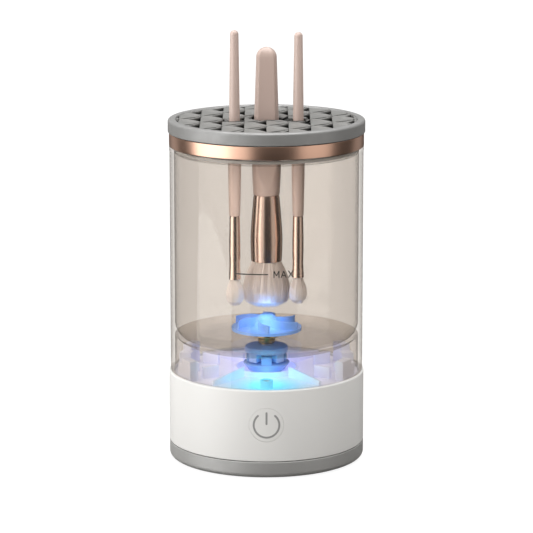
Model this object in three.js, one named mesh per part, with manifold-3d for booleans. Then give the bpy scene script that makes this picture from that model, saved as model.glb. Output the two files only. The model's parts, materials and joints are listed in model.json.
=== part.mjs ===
// Makeup brush cleaner: a motor base, a clear tank with an impeller, and a lid that holds the brushes.
// Millimetres, +Z up, the front faces -Y. The origin is the centre of the foot on the table.
import * as THREE from 'three';
import { mergeVertices } from 'three/addons/utils/BufferGeometryUtils.js';
import Module from 'manifold-3d';

const wasm = await Module();
wasm.setup();

// ---- driving dimensions -------------------------------------------------------------------------
const GAP = 0.3;                 // between pieces that touch or slide

const BASE_RADIUS = 50;          // white housing and grey bottom cover
const BASE_WALL = 2.7;
const COVER_UNDERSIDE = 0.4;     // the foot ring stands this much proud of the cover
const COVER_FLOOR = 3;           // top of the cover's floor
const COVER_TOP = 8.7;
const LIP_TOP = 12;              // locating lip inside the housing
const HOUSING_TOP = 45.5;

const DECK_BOTTOM = 42.2;        // frosted deck that closes the base under the tank
const DECK_TOP = 44.2;
const DECK_POST_RADIUS = 38;     // circle of the four screw posts
const DECK_POST_TOP = 48.4;

const TANK_RADIUS = 49.3;
const TANK_WALL = 2.3;
const TANK_BOTTOM = HOUSING_TOP + GAP;
const TANK_TOP = 161.7;
const FLOOR_TOP = 62;
const FLOOR_THICKNESS = 2.4;
const FLOOR_CORNER = 9;          // inner radius where the floor turns up into the wall

const HUB_BOTTOM = 45;           // drive coupling above the deck
const HUB_TOP = 49.3;
const DOG_TOP = 53;              // drive dogs reach up to here
const DRIVEN_BOTTOM = 50;        // driven dogs reach down to here
const DRIVEN_PLATE = 54.5;
const DRIVEN_TOP = 57.4;
const DOG_COUNT = 4;
const SHAFT_RADIUS = 1.5;

const IMPELLER_BOTTOM = 66;
const IMPELLER_TOP = 74;
const IMPELLER_RADIUS = 18;
const BLADE_COUNT = 6;

const RING_BOTTOM = 162;         // rose-gold ring
const RING_TOP = 168.7;
const RING_RADIUS = 49.5;
const CAP_RADIUS = 50.1;         // silicone flap cap
const CAP_BOTTOM = 169;
const CAP_TOP = 175.5;
const FIELD_RADIUS = 46;         // round field of flaps inside the rim
const FIELD_TOP = 174.7;
const FIELD_BOTTOM = 173;
const FLAP_PITCH = 11;           // the flap lattice repeats every two pitches in a column

const BUTTON_HEIGHT = 28;
const BUTTON_RADIUS = 8.7;
const BUTTON_FLANGE = 10.6;
const SYMBOL_RADIUS = 6.9;
const SYMBOL_STROKE = 1;

const MOTOR_RADIUS = 12.2;
const MOTOR_BOTTOM = 7;
const MOTOR_TOP = 36.8;
const BOARD_FRONT = -38.5;       // front face of the upright circuit board
const BOARD_THICKNESS = 1.6;

const FINE = 40;                 // segments of a large round part
const SMALL = 12;                // segments of a shaft or a boss
const SCREW = 6;                 // segments of a screw

// Lid positions of the brushes and their heights, from the ends of the handles down.
const BRUSHES = [
  {
    name: 'left', x: -16.2, y: -3.5, hole: 3.6,
    handle: [[126.1, 2.75], [136, 3], [150, 3.15], [173, 2.85], [185, 2.68], [218.7, 2.12]], top: 220.8,
    ferrule: [[93.1, 3.15], [125.8, 2.7]],
    bristles: [[95.5, 2.2], [92.9, 2.25], [92.3, 2.8], [87, 4.7], [84, 4.9], [81, 4]], end: 78.6,
  },
  {
    name: 'middle', x: 0, y: 7, hole: 7.7,
    handle: [[136.4, 6.6], [143, 7.1], [150, 7.25], [160, 6.9], [173, 6.35], [190, 5.75], [205.8, 5.25]],
    top: 211,
    ferrule: [[101.8, 8.25], [136.1, 6.55]],
    bristles: [[105, 7], [101.4, 7.4], [92, 11.6], [86, 12.8], [81, 11.6], [78, 8]], end: 76,
  },
  {
    name: 'right', x: 16.1, y: -1.5, hole: 3.6,
    handle: [[125.7, 2.75], [136, 3], [150, 3.15], [173, 2.85], [185, 2.68], [217.5, 2.12]], top: 219.6,
    ferrule: [[93.7, 3.15], [125.4, 2.7]],
    bristles: [[96, 2.2], [93.5, 2.25], [92.9, 2.8], [87.5, 4.7], [84.5, 4.9], [81.5, 4]], end: 79.1,
  },
];

// ---- shapes -------------------------------------------------------------------------------------
const QUARTER = Math.PI / 2;
const radians = THREE.MathUtils.degToRad;

// A profile of [radius, z] pairs turned about the Z axis.
function revolve(profile, segments = FINE) {
  const points = profile.map(([radius, z]) => new THREE.Vector2(radius, z));
  const onAxis = profile[0][0] === 0 && profile[profile.length - 1][0] === 0;
  if (!onAxis) {
    points.push(points[0].clone());
  }
  return new THREE.LatheGeometry(points, segments).rotateX(QUARTER);
}

function disc(radius, bottom, top, segments = SMALL) {
  return revolve([[0, bottom], [radius, bottom], [radius, top], [0, top]], segments);
}

function ring(inner, outer, bottom, top, segments = FINE) {
  return revolve([[inner, bottom], [outer, bottom], [outer, top], [inner, top]], segments);
}

function block([x0, x1], [y0, y1], [z0, z1]) {
  const box = new THREE.BoxGeometry(x1 - x0, y1 - y0, z1 - z0);
  return box.translate((x0 + x1) / 2, (y0 + y1) / 2, (z0 + z1) / 2);
}

// A flat outline of [x, y] pairs raised from bottom to top.
function raise(outline, bottom, top) {
  const shape = new THREE.Shape(outline.map(([x, y]) => new THREE.Vector2(x, y)));
  const extruded = new THREE.ExtrudeGeometry(shape, { depth: top - bottom, bevelEnabled: false });
  return extruded.translate(0, 0, bottom);
}

// A piece of a ring between two angles in degrees.
function arcBlock(inner, outer, from, to, bottom, top, steps = 4) {
  const outline = [];
  for (let i = 0; i <= steps; i += 1) {
    const angle = radians(from + ((to - from) * i) / steps);
    outline.push([outer * Math.cos(angle), outer * Math.sin(angle)]);
  }
  for (let i = steps; i >= 0; i -= 1) {
    const angle = radians(from + ((to - from) * i) / steps);
    outline.push([inner * Math.cos(angle), inner * Math.sin(angle)]);
  }
  return raise(outline, bottom, top);
}

// Points of an arc for a profile, angles in degrees from the +radius direction.
function arc(centreRadius, centreZ, size, from, to, steps) {
  const points = [];
  for (let i = 0; i <= steps; i += 1) {
    const angle = radians(from + ((to - from) * i) / steps);
    points.push([centreRadius + size * Math.cos(angle), centreZ + size * Math.sin(angle)]);
  }
  return points;
}

// A round bar along Y, at x and z.
function barAlongY(radius, x, z, y0, y1, segments = 32) {
  return disc(radius, -y1, -y0, segments).rotateX(QUARTER).translate(x, 0, z);
}

function tubeAlong(points, radius) {
  const path = new THREE.CatmullRomCurve3(points.map((point) => new THREE.Vector3(...point)));
  const section = new THREE.Shape();
  const sides = 8;
  for (let i = 0; i < sides; i += 1) {
    const angle = (2 * Math.PI * i) / sides;
    const x = radius * Math.cos(angle);
    const y = radius * Math.sin(angle);
    if (i === 0) {
      section.moveTo(x, y);
    } else {
      section.lineTo(x, y);
    }
  }
  section.closePath();
  return new THREE.ExtrudeGeometry(section, { steps: 12, bevelEnabled: false, extrudePath: path });
}

function around(geometry, degrees) {
  return geometry.clone().rotateZ(radians(degrees));
}

// Angles in degrees of count places spread round the axis, the first at start.
function spread(count, start = 0) {
  return Array.from({ length: count }, (_, i) => start + (360 * i) / count);
}

// ---- solids -------------------------------------------------------------------------------------
// A closed geometry as a manifold solid with its faces pointing out.
function solid(geometry) {
  const bare = geometry.clone();
  bare.deleteAttribute('normal');
  bare.deleteAttribute('uv');
  const merged = mergeVertices(bare, 1e-4);
  const position = merged.getAttribute('position');
  const index = merged.getIndex().array;
  const corners = [];
  let volume = 0;
  for (let i = 0; i < index.length; i += 3) {
    const [a, b, c] = [index[i], index[i + 1], index[i + 2]];
    if (a !== b && b !== c && c !== a) {
      corners.push(a, b, c);
      const [p, q, r] = [a, b, c].map((k) => new THREE.Vector3().fromBufferAttribute(position, k));
      volume += p.dot(q.cross(r));
    }
  }
  if (volume < 0) {
    corners.reverse();
  }
  const mesh = new wasm.Mesh({
    numProp: 3,
    vertProperties: new Float32Array(position.array),
    triVerts: new Uint32Array(corners),
  });
  return new wasm.Manifold(mesh);
}

function join(...geometries) {
  return geometries.map(solid).reduce((whole, next) => whole.add(next));
}

function cut(body, ...geometries) {
  return geometries.map(solid).reduce((whole, next) => whole.subtract(next), body);
}

const cleaner = new THREE.Group();

// Adds one named sub-part; body is a geometry or a manifold solid.
function piece(name, body, material) {
  const manifold = body instanceof THREE.BufferGeometry ? solid(body) : body;
  const mesh = manifold.getMesh();
  const geometry = new THREE.BufferGeometry();
  geometry.setAttribute('position', new THREE.BufferAttribute(new Float32Array(mesh.vertProperties), 3));
  geometry.setIndex(new THREE.BufferAttribute(new Uint32Array(mesh.triVerts), 1));
  const node = new THREE.Mesh(geometry, material);
  node.name = name;
  cleaner.add(node);
  return node;
}

// ---- materials ----------------------------------------------------------------------------------
function finish(color, roughness, metalness = 0, extra = {}) {
  return new THREE.MeshStandardMaterial({ color, roughness, metalness, flatShading: true, ...extra });
}

const clear = { transparent: true, opacity: 0.35 };
const white = finish(0xeeece9, 0.35);
const grey = finish(0x9d9c97, 0.7);
const rubber = finish(0x55534f, 0.85);
const frosted = finish(0xe3e4f0, 0.45);
const clearPlastic = finish(0xe6e2dc, 0.08, 0, clear);
const silicone = finish(0xa3a09b, 0.75);
const roseGold = finish(0xc99a7c, 0.22, 1);
const nude = finish(0xe3cfc6, 0.4);
const hair = finish(0xd7c5bc, 0.9);
const steel = finish(0xb9bbbd, 0.35, 1);
const brass = finish(0xc2a35c, 0.3, 1);
const black = finish(0x2b2b2d, 0.5);
const board = finish(0x2f6b46, 0.5);
const foil = finish(0x9aa7b5, 0.4, 0.4);
const red = finish(0xa33a34, 0.5);
const symbolGrey = finish(0x939393, 0.5);
const blueTint = finish(0x6f9fe0, 0.2, 0, clear);
const lamp = finish(0xbfe4ff, 0.3, 0, { emissive: 0x3f8cff });

// ---- base ---------------------------------------------------------------------------------------
const COVER_SCREW_CIRCLE = 42.6;
const coverScrewPlaces = spread(4, 45);
const deckPostPlaces = spread(4, 0);
const housingInner = BASE_RADIUS - BASE_WALL;

function bottomCover() {
  const edge = 2.5;
  const tray = revolve([
    [0, COVER_UNDERSIDE], [31, COVER_UNDERSIDE], [31, 1.9], [37, 1.9], [37, COVER_UNDERSIDE],
    ...arc(BASE_RADIUS - edge, COVER_UNDERSIDE + edge, edge, -90, 0, 3),
    [BASE_RADIUS, COVER_TOP], [housingInner - GAP, COVER_TOP], [housingInner - GAP, LIP_TOP],
    [45.2, LIP_TOP], [45.2, COVER_FLOOR], [0, COVER_FLOOR],
  ]);
  const posts = coverScrewPlaces.map((angle) => (
    around(disc(3.4, COVER_FLOOR - 1, LIP_TOP, SCREW * 2).translate(COVER_SCREW_CIRCLE, 0, 0), angle)));
  const guides = [-1, 1].flatMap((side) => {
    const across = [Math.min(side * 12, side * 16), Math.max(side * 12, side * 16)];
    const back = BOARD_FRONT + BOARD_THICKNESS + GAP;
    return [
      block(across, [BOARD_FRONT - GAP - 1.5, BOARD_FRONT - GAP], [COVER_FLOOR - 1, 8]),
      block(across, [back, back + 1.5], [COVER_FLOOR - 1, 8]),
    ];
  });
  const portPosts = [-5, 5].map((x) => disc(1.8, COVER_FLOOR - 1, 12.3, SCREW).translate(x, 35, 0));
  const holes = coverScrewPlaces.flatMap((angle) => [
    around(disc(3.1, 0, 2.6, SCREW).translate(COVER_SCREW_CIRCLE, 0, 0), angle),
    around(disc(1.65, 0, LIP_TOP + 1, SCREW).translate(COVER_SCREW_CIRCLE, 0, 0), angle),
  ]);
  return cut(join(tray, ...posts, ...guides, ...portPosts), ...holes);
}

function baseHousing() {
  const ledge = 40.5;
  const shell = revolve([
    [BASE_RADIUS, COVER_TOP + GAP], [BASE_RADIUS, HOUSING_TOP - 0.7], [BASE_RADIUS - 0.7, HOUSING_TOP],
    [housingInner, HOUSING_TOP], [housingInner, DECK_BOTTOM - GAP], [ledge, DECK_BOTTOM - GAP],
    [ledge, 39.6], [housingInner, 39], [housingInner, COVER_TOP + GAP],
  ]);
  const coverBosses = coverScrewPlaces.flatMap((angle) => [
    around(disc(3.4, LIP_TOP + GAP, 24, SMALL).translate(COVER_SCREW_CIRCLE, 0, 0), angle),
    around(block([COVER_SCREW_CIRCLE, housingInner + 1], [-1.2, 1.2], [LIP_TOP + GAP, 24]), angle),
  ]);
  const deckBosses = deckPostPlaces.map((angle) => (
    around(disc(3.2, 34, DECK_BOTTOM - GAP, SMALL).translate(DECK_POST_RADIUS, 0, 0), angle)));
  const holes = coverScrewPlaces.map((angle) => (
    around(disc(1.65, LIP_TOP, 21.5, SCREW).translate(COVER_SCREW_CIRCLE, 0, 0), angle)));
  const deckHoles = deckPostPlaces.map((angle) => (
    around(disc(1.45, 35.5, DECK_BOTTOM, SCREW).translate(DECK_POST_RADIUS, 0, 0), angle)));
  const buttonHole = barAlongY(BUTTON_RADIUS + GAP, 0, BUTTON_HEIGHT, -BASE_RADIUS - 2, -40, 40);
  const portHole = block([-4.9, 4.9], [40, BASE_RADIUS + 2], [13.7, 17.7]);
  return cut(join(shell, ...coverBosses, ...deckBosses), ...holes, ...deckHoles, buttonHole, portHole);
}

// A screw that points up from z = 0 at its head's face.
function screw(headRadius, headHeight, shankRadius, length) {
  return revolve([
    [0, 0.6], [headRadius * 0.45, 0.6], [headRadius * 0.45, 0], [headRadius, 0],
    [headRadius, headHeight], [shankRadius, headHeight], [shankRadius, length - 1], [0, length],
  ], SCREW);
}

// Frosted deck: radial ribs, stepped walls and four screw posts round the drive hub.
function lightDeck() {
  const wallOuter = 46.2;
  const root = DECK_TOP - 1;
  const plate = disc(housingInner - GAP, DECK_BOTTOM, DECK_TOP, FINE);
  const collar = ring(15, 16.6, root, 46.8, 48);
  const posts = deckPostPlaces.map((angle) => (
    around(disc(3.4, root, DECK_POST_TOP, SMALL).translate(DECK_POST_RADIUS, 0, 0), angle)));
  const ribs = [-1, 1].flatMap((front) => [-1, 1].map((side) => {
    const rib = new THREE.Shape();
    rib.moveTo(18.5, root);
    rib.lineTo(43, root);
    rib.lineTo(43, 46.8);
    rib.lineTo(18.5, 49.6);
    rib.closePath();
    const thickness = 1.4;
    const upright = new THREE.ExtrudeGeometry(rib, { depth: thickness, bevelEnabled: false });
    upright.translate(0, 0, -thickness / 2).rotateX(QUARTER);
    return around(upright, front * 90 + side * front * 39);
  }));
  const steps = [-1, 1].flatMap((side) => {
    const centre = side > 0 ? 0 : 180;
    return [-1, 1].flatMap((turn) => [
      arcBlock(40, wallOuter, centre + turn * 12, centre + turn * 21, root, 51.3),
      arcBlock(41.5, wallOuter, centre + turn * 20, centre + turn * 33, root, 54.4),
      arcBlock(28, 37, centre + turn * 26, centre + turn * 30, root, 50.2, 1),
    ]);
  });
  const pillars = [-22, 22].map((x) => disc(2.6, 38.9, root, SCREW).translate(x, 0, 0));
  const pegs = spread(4, 45).map((angle) => (
    around(disc(1.1, 38.8, root, SCREW).translate(29.5, 0, 0), angle)));
  const screwHoles = deckPostPlaces.flatMap((angle) => [
    disc(1.8, DECK_BOTTOM - 1, DECK_POST_TOP + 1, SCREW),
    disc(2.7, DECK_POST_TOP - 2.6, DECK_POST_TOP + 1, SCREW),
  ].map((hole) => around(hole.translate(DECK_POST_RADIUS, 0, 0), angle)));
  const pillarHoles = [-22, 22].map((x) => disc(1.4, 38, 43, SCREW).translate(x, 0, 0));
  const shaftHole = disc(8, DECK_BOTTOM - 1, DECK_TOP + 1, SMALL);
  return cut(join(plate, collar, ...posts, ...ribs, ...steps, ...pillars, ...pegs),
    ...screwHoles, ...pillarHoles, shaftHole);
}

piece('bottom_cover', bottomCover(), grey);
piece('foot_ring', ring(31.3, 36.7, 0, 1.6), rubber);
piece('base_housing', baseHousing(), white);
piece('light_deck', lightDeck(), frosted);
coverScrewPlaces.forEach((angle, i) => {
  const shape = screw(2.7, 1.6, 1.3, 19).translate(COVER_SCREW_CIRCLE, 0, 0.7);
  piece(`cover_screw_${i + 1}`, around(shape, angle), steel);
});
deckPostPlaces.forEach((angle, i) => {
  const shape = screw(2.3, 1.5, 1.1, 10).rotateX(Math.PI).translate(DECK_POST_RADIUS, 0, 47.7);
  piece(`deck_screw_${i + 1}`, around(shape, angle), steel);
});
piece('deck_seal', ring(SHAFT_RADIUS + GAP, 7.7, DECK_BOTTOM, DECK_TOP + 0.2, SMALL), rubber);

// ---- motor and drive ----------------------------------------------------------------------------
const BRACKET_BOTTOM = MOTOR_TOP + GAP;
const BRACKET_TOP = BRACKET_BOTTOM + 1.5;

function motorCan() {
  const can = revolve([
    [0, MOTOR_BOTTOM - 1.2], [3, MOTOR_BOTTOM - 1.2], [3, MOTOR_BOTTOM], [MOTOR_RADIUS - 1, MOTOR_BOTTOM],
    [MOTOR_RADIUS, MOTOR_BOTTOM + 1], [MOTOR_RADIUS, MOTOR_TOP - 1], [MOTOR_RADIUS - 1, MOTOR_TOP],
    [0, MOTOR_TOP],
  ], 32);
  const bore = disc(SHAFT_RADIUS + GAP, 33.7, MOTOR_TOP + 1, SMALL);
  const screwHoles = [-8, 8].map((y) => disc(1.4, 33, MOTOR_TOP + 1, SCREW).translate(0, y, 0));
  return cut(solid(can), bore, ...screwHoles);
}

function motorBracket() {
  const plate = raise([[-26, -6], [-12, -13], [12, -13], [26, -6], [26, 6], [12, 13], [-12, 13], [-26, 6]],
    BRACKET_BOTTOM, BRACKET_TOP);
  const shaftHole = disc(3.5, BRACKET_BOTTOM - 1, BRACKET_TOP + 1, SMALL);
  const motorHoles = [-8, 8].map((y) => disc(1.5, 30, 45, SCREW).translate(0, y, 0));
  const endHoles = [-22, 22].map((x) => disc(1.5, 30, 45, SCREW).translate(x, 0, 0));
  return cut(solid(plate), shaftHole, ...motorHoles, ...endHoles);
}

// Dogs that stand between two heights, shared by both halves of the coupling.
function dogs(bottom, top, start) {
  return spread(DOG_COUNT, start).map((angle) => arcBlock(5, 10.4, angle - 15, angle + 15, bottom, top, 3));
}

function driveCoupling() {
  const hub = revolve([
    [0, HUB_BOTTOM], [9.6, HUB_BOTTOM], [10.4, HUB_BOTTOM + 1.6], [12, HUB_TOP - 0.6],
    [11.4, HUB_TOP], [0, HUB_TOP],
  ], 48);
  const bore = disc(SHAFT_RADIUS + GAP, HUB_BOTTOM - 1, HUB_TOP + 1, SMALL);
  return cut(join(hub, ...dogs(HUB_TOP - 1, DOG_TOP, 0)), bore);
}

function drivenCoupling() {
  const plate = disc(11, DRIVEN_PLATE, DRIVEN_TOP, 32);
  const bore = disc(SHAFT_RADIUS + GAP, DRIVEN_BOTTOM, DRIVEN_TOP + 1, SMALL);
  return cut(join(plate, ...dogs(DRIVEN_BOTTOM, DRIVEN_PLATE + 1, 45)), bore);
}

piece('motor', motorCan(), steel);
piece('motor_bracket', motorBracket(), steel);
[-8, 8].forEach((y, i) => {
  const shape = screw(2.4, 1.3, 1.1, 6).rotateX(Math.PI).translate(0, y, BRACKET_TOP + GAP + 1.3);
  piece(`motor_screw_${i + 1}`, shape, steel);
});
[-22, 22].forEach((x, i) => {
  const shape = screw(2.4, 1.3, 1, 6.2).translate(x, 0, BRACKET_BOTTOM - GAP - 1.3);
  piece(`bracket_screw_${i + 1}`, shape, steel);
});
piece('motor_shaft', disc(SHAFT_RADIUS, 34, 50.6, SMALL), steel);
piece('drive_coupling', driveCoupling(), blueTint);

// ---- power, board and lights --------------------------------------------------------------------
function batteryCradle() {
  const tray = block([-26, 26], [16.2, 27.8], [COVER_FLOOR + GAP, 11]);
  const pocket = block([-24.3, 24.3], [17.7, 26.3], [COVER_FLOOR + GAP + 1.2, 12]);
  return cut(solid(tray), pocket);
}

function chargingPort() {
  const shell = block([-4.5, 4.5], [40.6, 48.4], [14.1, 17.3]);
  const mouth = block([-4.1, 4.1], [42.2, 49], [14.5, 16.9]);
  const tongue = block([-3.3, 3.3], [42, 47.4], [15.4, 16]);
  return cut(solid(shell), mouth).add(solid(tongue));
}

function tactSwitch() {
  const back = BOARD_FRONT - GAP;
  const body = block([-3, 3], [back - 3.2, back], [BUTTON_HEIGHT - 3, BUTTON_HEIGHT + 3]);
  const plunger = barAlongY(1.7, 0, BUTTON_HEIGHT, BOARD_FRONT - 4.4, BOARD_FRONT - 1, SCREW);
  return join(body, plunger);
}

function lightBoard() {
  const annulus = ring(25.5, 34, 39.1, 40.3, 48);
  const holes = spread(4, 45).map((angle) => around(disc(1.4, 38, 41, SCREW).translate(29.5, 0, 0), angle));
  return cut(solid(annulus), ...holes);
}

piece('battery_cradle', batteryCradle(), black);
piece('battery_pack', block([-24, 24], [18, 26], [COVER_FLOOR + GAP + 1.5, 32]), foil);
piece('circuit_board', block(
  [-20, 20],
  [BOARD_FRONT, BOARD_FRONT + BOARD_THICKNESS],
  [COVER_FLOOR + GAP, 33.6],
), board);
piece('tact_switch', tactSwitch(), black);
piece('port_board', block([-9, 9], [31, 44.5], [12.6, 13.8]), board);
piece('charging_port', chargingPort(), steel);
piece('light_board', lightBoard(), board);
spread(4, 0).forEach((angle, i) => {
  const shape = block([28, 31.5], [-1.4, 1.4], [40.6, 41.8]);
  piece(`light_${i + 1}`, around(shape, angle), lamp);
});
piece('battery_lead', tubeAlong([
  [-20, 22, 33], [-25, 12, 34.6], [-26.5, -4, 35], [-20, -26, 33], [-14, -34.6, 29],
], 0.7), red);
piece('motor_lead', tubeAlong([
  [9, -2, 5.6], [10, -13, 4.6], [9.4, -25, 6], [8, -34.6, 11],
], 0.7), red);

// ---- power button -------------------------------------------------------------------------------
// The cap follows the housing's curve; a wider flange behind the wall keeps it in.
function powerButton() {
  const inner = housingInner - GAP - 1.4;
  const face = solid(barAlongY(BUTTON_RADIUS, 0, BUTTON_HEIGHT, -BASE_RADIUS - 2, -40, 40));
  const flange = solid(barAlongY(BUTTON_FLANGE, 0, BUTTON_HEIGHT, -BASE_RADIUS - 2, -40, 40));
  const skin = solid(ring(inner, BASE_RADIUS, 15, 41));
  const flangeSkin = solid(ring(inner, housingInner - GAP, 15, 41));
  const stem = solid(barAlongY(2, 0, BUTTON_HEIGHT, -46.5, BOARD_FRONT - 5.3, SCREW));
  return face.intersect(skin).add(flange.intersect(flangeSkin)).add(stem);
}

// Power symbol about the button's centre: an open ring, and a bar through the opening. A margin makes
// the pocket that each of them sits in.
function symbolOutline(kind, margin) {
  if (kind === 'ring') {
    const opening = 42 - margin * 9;
    const inner = SYMBOL_RADIUS - SYMBOL_STROKE - margin;
    return arcBlock(inner, SYMBOL_RADIUS + margin, 90 + opening, 450 - opening, 0, 60, 28);
  }
  const half = SYMBOL_STROKE / 2 + margin;
  const [low, high] = [0.4 - margin, 6.5 + margin];
  return raise([[-half, low], [half, low], [half, high], [-half, high]], 0, 60);
}

function symbolPart(kind, margin, inner, outer) {
  const outline = symbolOutline(kind, margin).rotateX(QUARTER).translate(0, 0, BUTTON_HEIGHT);
  return solid(outline).intersect(solid(ring(inner, outer, 10, 45)));
}

const symbolDepth = BASE_RADIUS - 1;
const cap = ['ring', 'bar'].reduce((body, kind) => (
  body.subtract(symbolPart(kind, GAP, symbolDepth, BASE_RADIUS + 1))), powerButton());
piece('button_cap', cap, white);
['ring', 'bar'].forEach((kind) => {
  piece(`power_symbol_${kind}`, symbolPart(kind, 0, symbolDepth + GAP, BASE_RADIUS - 0.05), symbolGrey);
});

// ---- tank and impeller --------------------------------------------------------------------------
function tankShell() {
  const inner = TANK_RADIUS - TANK_WALL;
  const cornerRadius = inner - FLOOR_CORNER;
  const cornerHeight = FLOOR_TOP + FLOOR_CORNER;
  const underside = FLOOR_CORNER + FLOOR_THICKNESS;
  const reach = -THREE.MathUtils.radToDeg(Math.acos(FLOOR_CORNER / underside));
  return revolve([
    [4.5, FLOOR_TOP - FLOOR_THICKNESS],
    ...arc(cornerRadius, cornerHeight, underside, -90, reach, 3),
    [inner, TANK_BOTTOM], [TANK_RADIUS, TANK_BOTTOM], [TANK_RADIUS, TANK_TOP - 1.7],
    [TANK_RADIUS + 0.2, TANK_TOP - 1.5], [TANK_RADIUS + 0.2, TANK_TOP - 0.3], [TANK_RADIUS, TANK_TOP],
    [inner, TANK_TOP],
    ...arc(cornerRadius, cornerHeight, FLOOR_CORNER, 0, -90, 4),
    [4.5, FLOOR_TOP],
  ]);
}

function impellerWheel() {
  const hub = revolve([
    [0, IMPELLER_BOTTOM], [IMPELLER_RADIUS, IMPELLER_BOTTOM], [IMPELLER_RADIUS, IMPELLER_BOTTOM + 1.5],
    [7, IMPELLER_BOTTOM + 1.9], [5.6, IMPELLER_TOP - 2.4], [4.2, IMPELLER_TOP - 0.7], [0, IMPELLER_TOP],
  ], 48);
  const blades = spread(BLADE_COUNT).map((angle) => {
    const outline = [];
    const steps = 5;
    const centreLine = (t) => {
      const radius = 4 + (IMPELLER_RADIUS - 4.4) * t;
      const bend = radians(34 * t * t);
      return [radius * Math.cos(bend), radius * Math.sin(bend), bend];
    };
    for (let i = 0; i <= steps; i += 1) {
      const [x, y, bend] = centreLine(i / steps);
      outline.push([x + 0.7 * Math.sin(bend), y - 0.7 * Math.cos(bend)]);
    }
    for (let i = steps; i >= 0; i -= 1) {
      const [x, y, bend] = centreLine(i / steps);
      outline.push([x - 0.7 * Math.sin(bend), y + 0.7 * Math.cos(bend)]);
    }
    return around(raise(outline, IMPELLER_BOTTOM + 1, IMPELLER_TOP - 1.6), angle);
  });
  const bore = disc(SHAFT_RADIUS + GAP, IMPELLER_BOTTOM - 1, 71.5, SMALL);
  return cut(join(hub, ...blades), bore);
}

piece('tank', tankShell(), clearPlastic);
piece('floor_bush', revolve([
  [SHAFT_RADIUS + GAP, 58.9], [4.2, 58.9], [4.2, FLOOR_TOP + GAP], [6.4, FLOOR_TOP + GAP],
  [6.4, 63.6], [SHAFT_RADIUS + GAP, 63.6],
], SMALL), brass);
piece('shaft_seal', ring(SHAFT_RADIUS + GAP, 4.6, 63.9, 65.4, SMALL), rubber);
piece('impeller', impellerWheel(), blueTint);
piece('impeller_shaft', disc(SHAFT_RADIUS, 53.6, 71.2, SMALL), steel);
piece('shaft_clip', ring(SHAFT_RADIUS + GAP, 3.2, 57.7, 58.6, SMALL), steel);
piece('driven_coupling', drivenCoupling(), white);

// ---- lid ----------------------------------------------------------------------------------------
const plugOuter = TANK_RADIUS - TANK_WALL - GAP;

function lidFrame() {
  return revolve([
    [43.8, 158.4], [plugOuter, 158.4], [plugOuter, 159.2], [45.2, 159.2], [45.2, 161.5],
    [plugOuter, 161.5], [plugOuter, RING_BOTTOM], [47.9, RING_BOTTOM], [47.9, RING_TOP],
    [45.1, RING_TOP], [45.1, 164.6], [43.8, 163.6],
  ]);
}

// Silicone cap: a rim round a field of flaps, slit along every column of the flap lattice.
function brushHolder() {
  const cap = revolve([
    [0, FIELD_BOTTOM], [42.8, FIELD_BOTTOM], [42.8, 166], [44.7, 166], [44.7, CAP_BOTTOM],
    [CAP_RADIUS - 0.3, CAP_BOTTOM], [CAP_RADIUS, CAP_BOTTOM + 0.4],
    ...arc(CAP_RADIUS - 1.2, CAP_TOP - 1.2, 1.2, 0, 90, 3),
    [FIELD_RADIUS + 0.3, CAP_TOP], [FIELD_RADIUS, FIELD_TOP], [0, FIELD_TOP],
  ]);
  const slits = [];
  for (let column = -3; column <= 4; column += 1) {
    for (let row = -4; row <= 4; row += 1) {
      const x = column * FLAP_PITCH;
      const y = row * FLAP_PITCH;
      const cellCentre = (column + row) % 2 !== 0;
      const nearBrush = BRUSHES.some((brush) => (
        Math.hypot(brush.x - x + 1.5, brush.y - y) < brush.hole + 7));
      if (cellCentre && !nearBrush && Math.hypot(Math.abs(x) + 1, Math.abs(y) + 7) < 42) {
        slits.push(raise([[x, y - 7], [x, y + 7], [x - 2.6, y]], FIELD_BOTTOM - 1, FIELD_TOP + 1));
      }
    }
  }
  const holes = BRUSHES.map((brush) => (
    disc(brush.hole, FIELD_BOTTOM - 1, FIELD_TOP + 1, SMALL).translate(brush.x, brush.y, 0)));
  return cut(solid(cap), ...slits, ...holes);
}

piece('lid_frame', lidFrame(), clearPlastic);
piece('lid_gasket', ring(45.5, plugOuter, 159.5, 161.2), silicone);
piece('trim_ring', ring(48.2, RING_RADIUS, RING_BOTTOM, RING_TOP), roseGold);
piece('brush_holder', brushHolder(), silicone);

// ---- brushes ------------------------------------------------------------------------------------
const FERRULE_WALL = 0.6;
const BRUSH_SEGMENTS = 20;

BRUSHES.forEach((brush) => {
  const [[ferruleBottom, wide], [ferruleTop, narrow]] = brush.ferrule;
  const tip = brush.handle[brush.handle.length - 1];
  const tenon = narrow - FERRULE_WALL - GAP;
  const dome = brush.top - tip[0];
  const handle = [
    [0, ferruleTop - 9], [tenon, ferruleTop - 9], [tenon, brush.handle[0][0]],
    ...brush.handle.map(([z, radius]) => [radius, z]),
    ...[25, 50, 72].map((angle) => (
      [tip[1] * Math.cos(radians(angle)), tip[0] + dome * Math.sin(radians(angle))])),
    [0, brush.top],
  ];
  const ferrule = [
    [wide - FERRULE_WALL, ferruleBottom], [wide, ferruleBottom], [narrow, ferruleTop],
    [narrow - FERRULE_WALL, ferruleTop],
  ];
  const bristles = [
    [0, brush.bristles[0][0]],
    ...brush.bristles.map(([z, radius]) => [radius, z]),
    [0, brush.end],
  ];
  const place = (profile) => revolve(profile, BRUSH_SEGMENTS).translate(brush.x, brush.y, 0);
  piece(`${brush.name}_handle`, place(handle), nude);
  piece(`${brush.name}_ferrule`, place(ferrule), roseGold);
  piece(`${brush.name}_bristles`, place(bristles), hair);
});

export default cleaner;
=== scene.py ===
"""Looks of a makeup brush cleaner: white base, clear tank with a lit impeller, flap lid and three brushes.

Lengths in the shape code are millimetres; build() turns them into metres. The front faces -Y.
"""

import json
import math
import random

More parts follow.
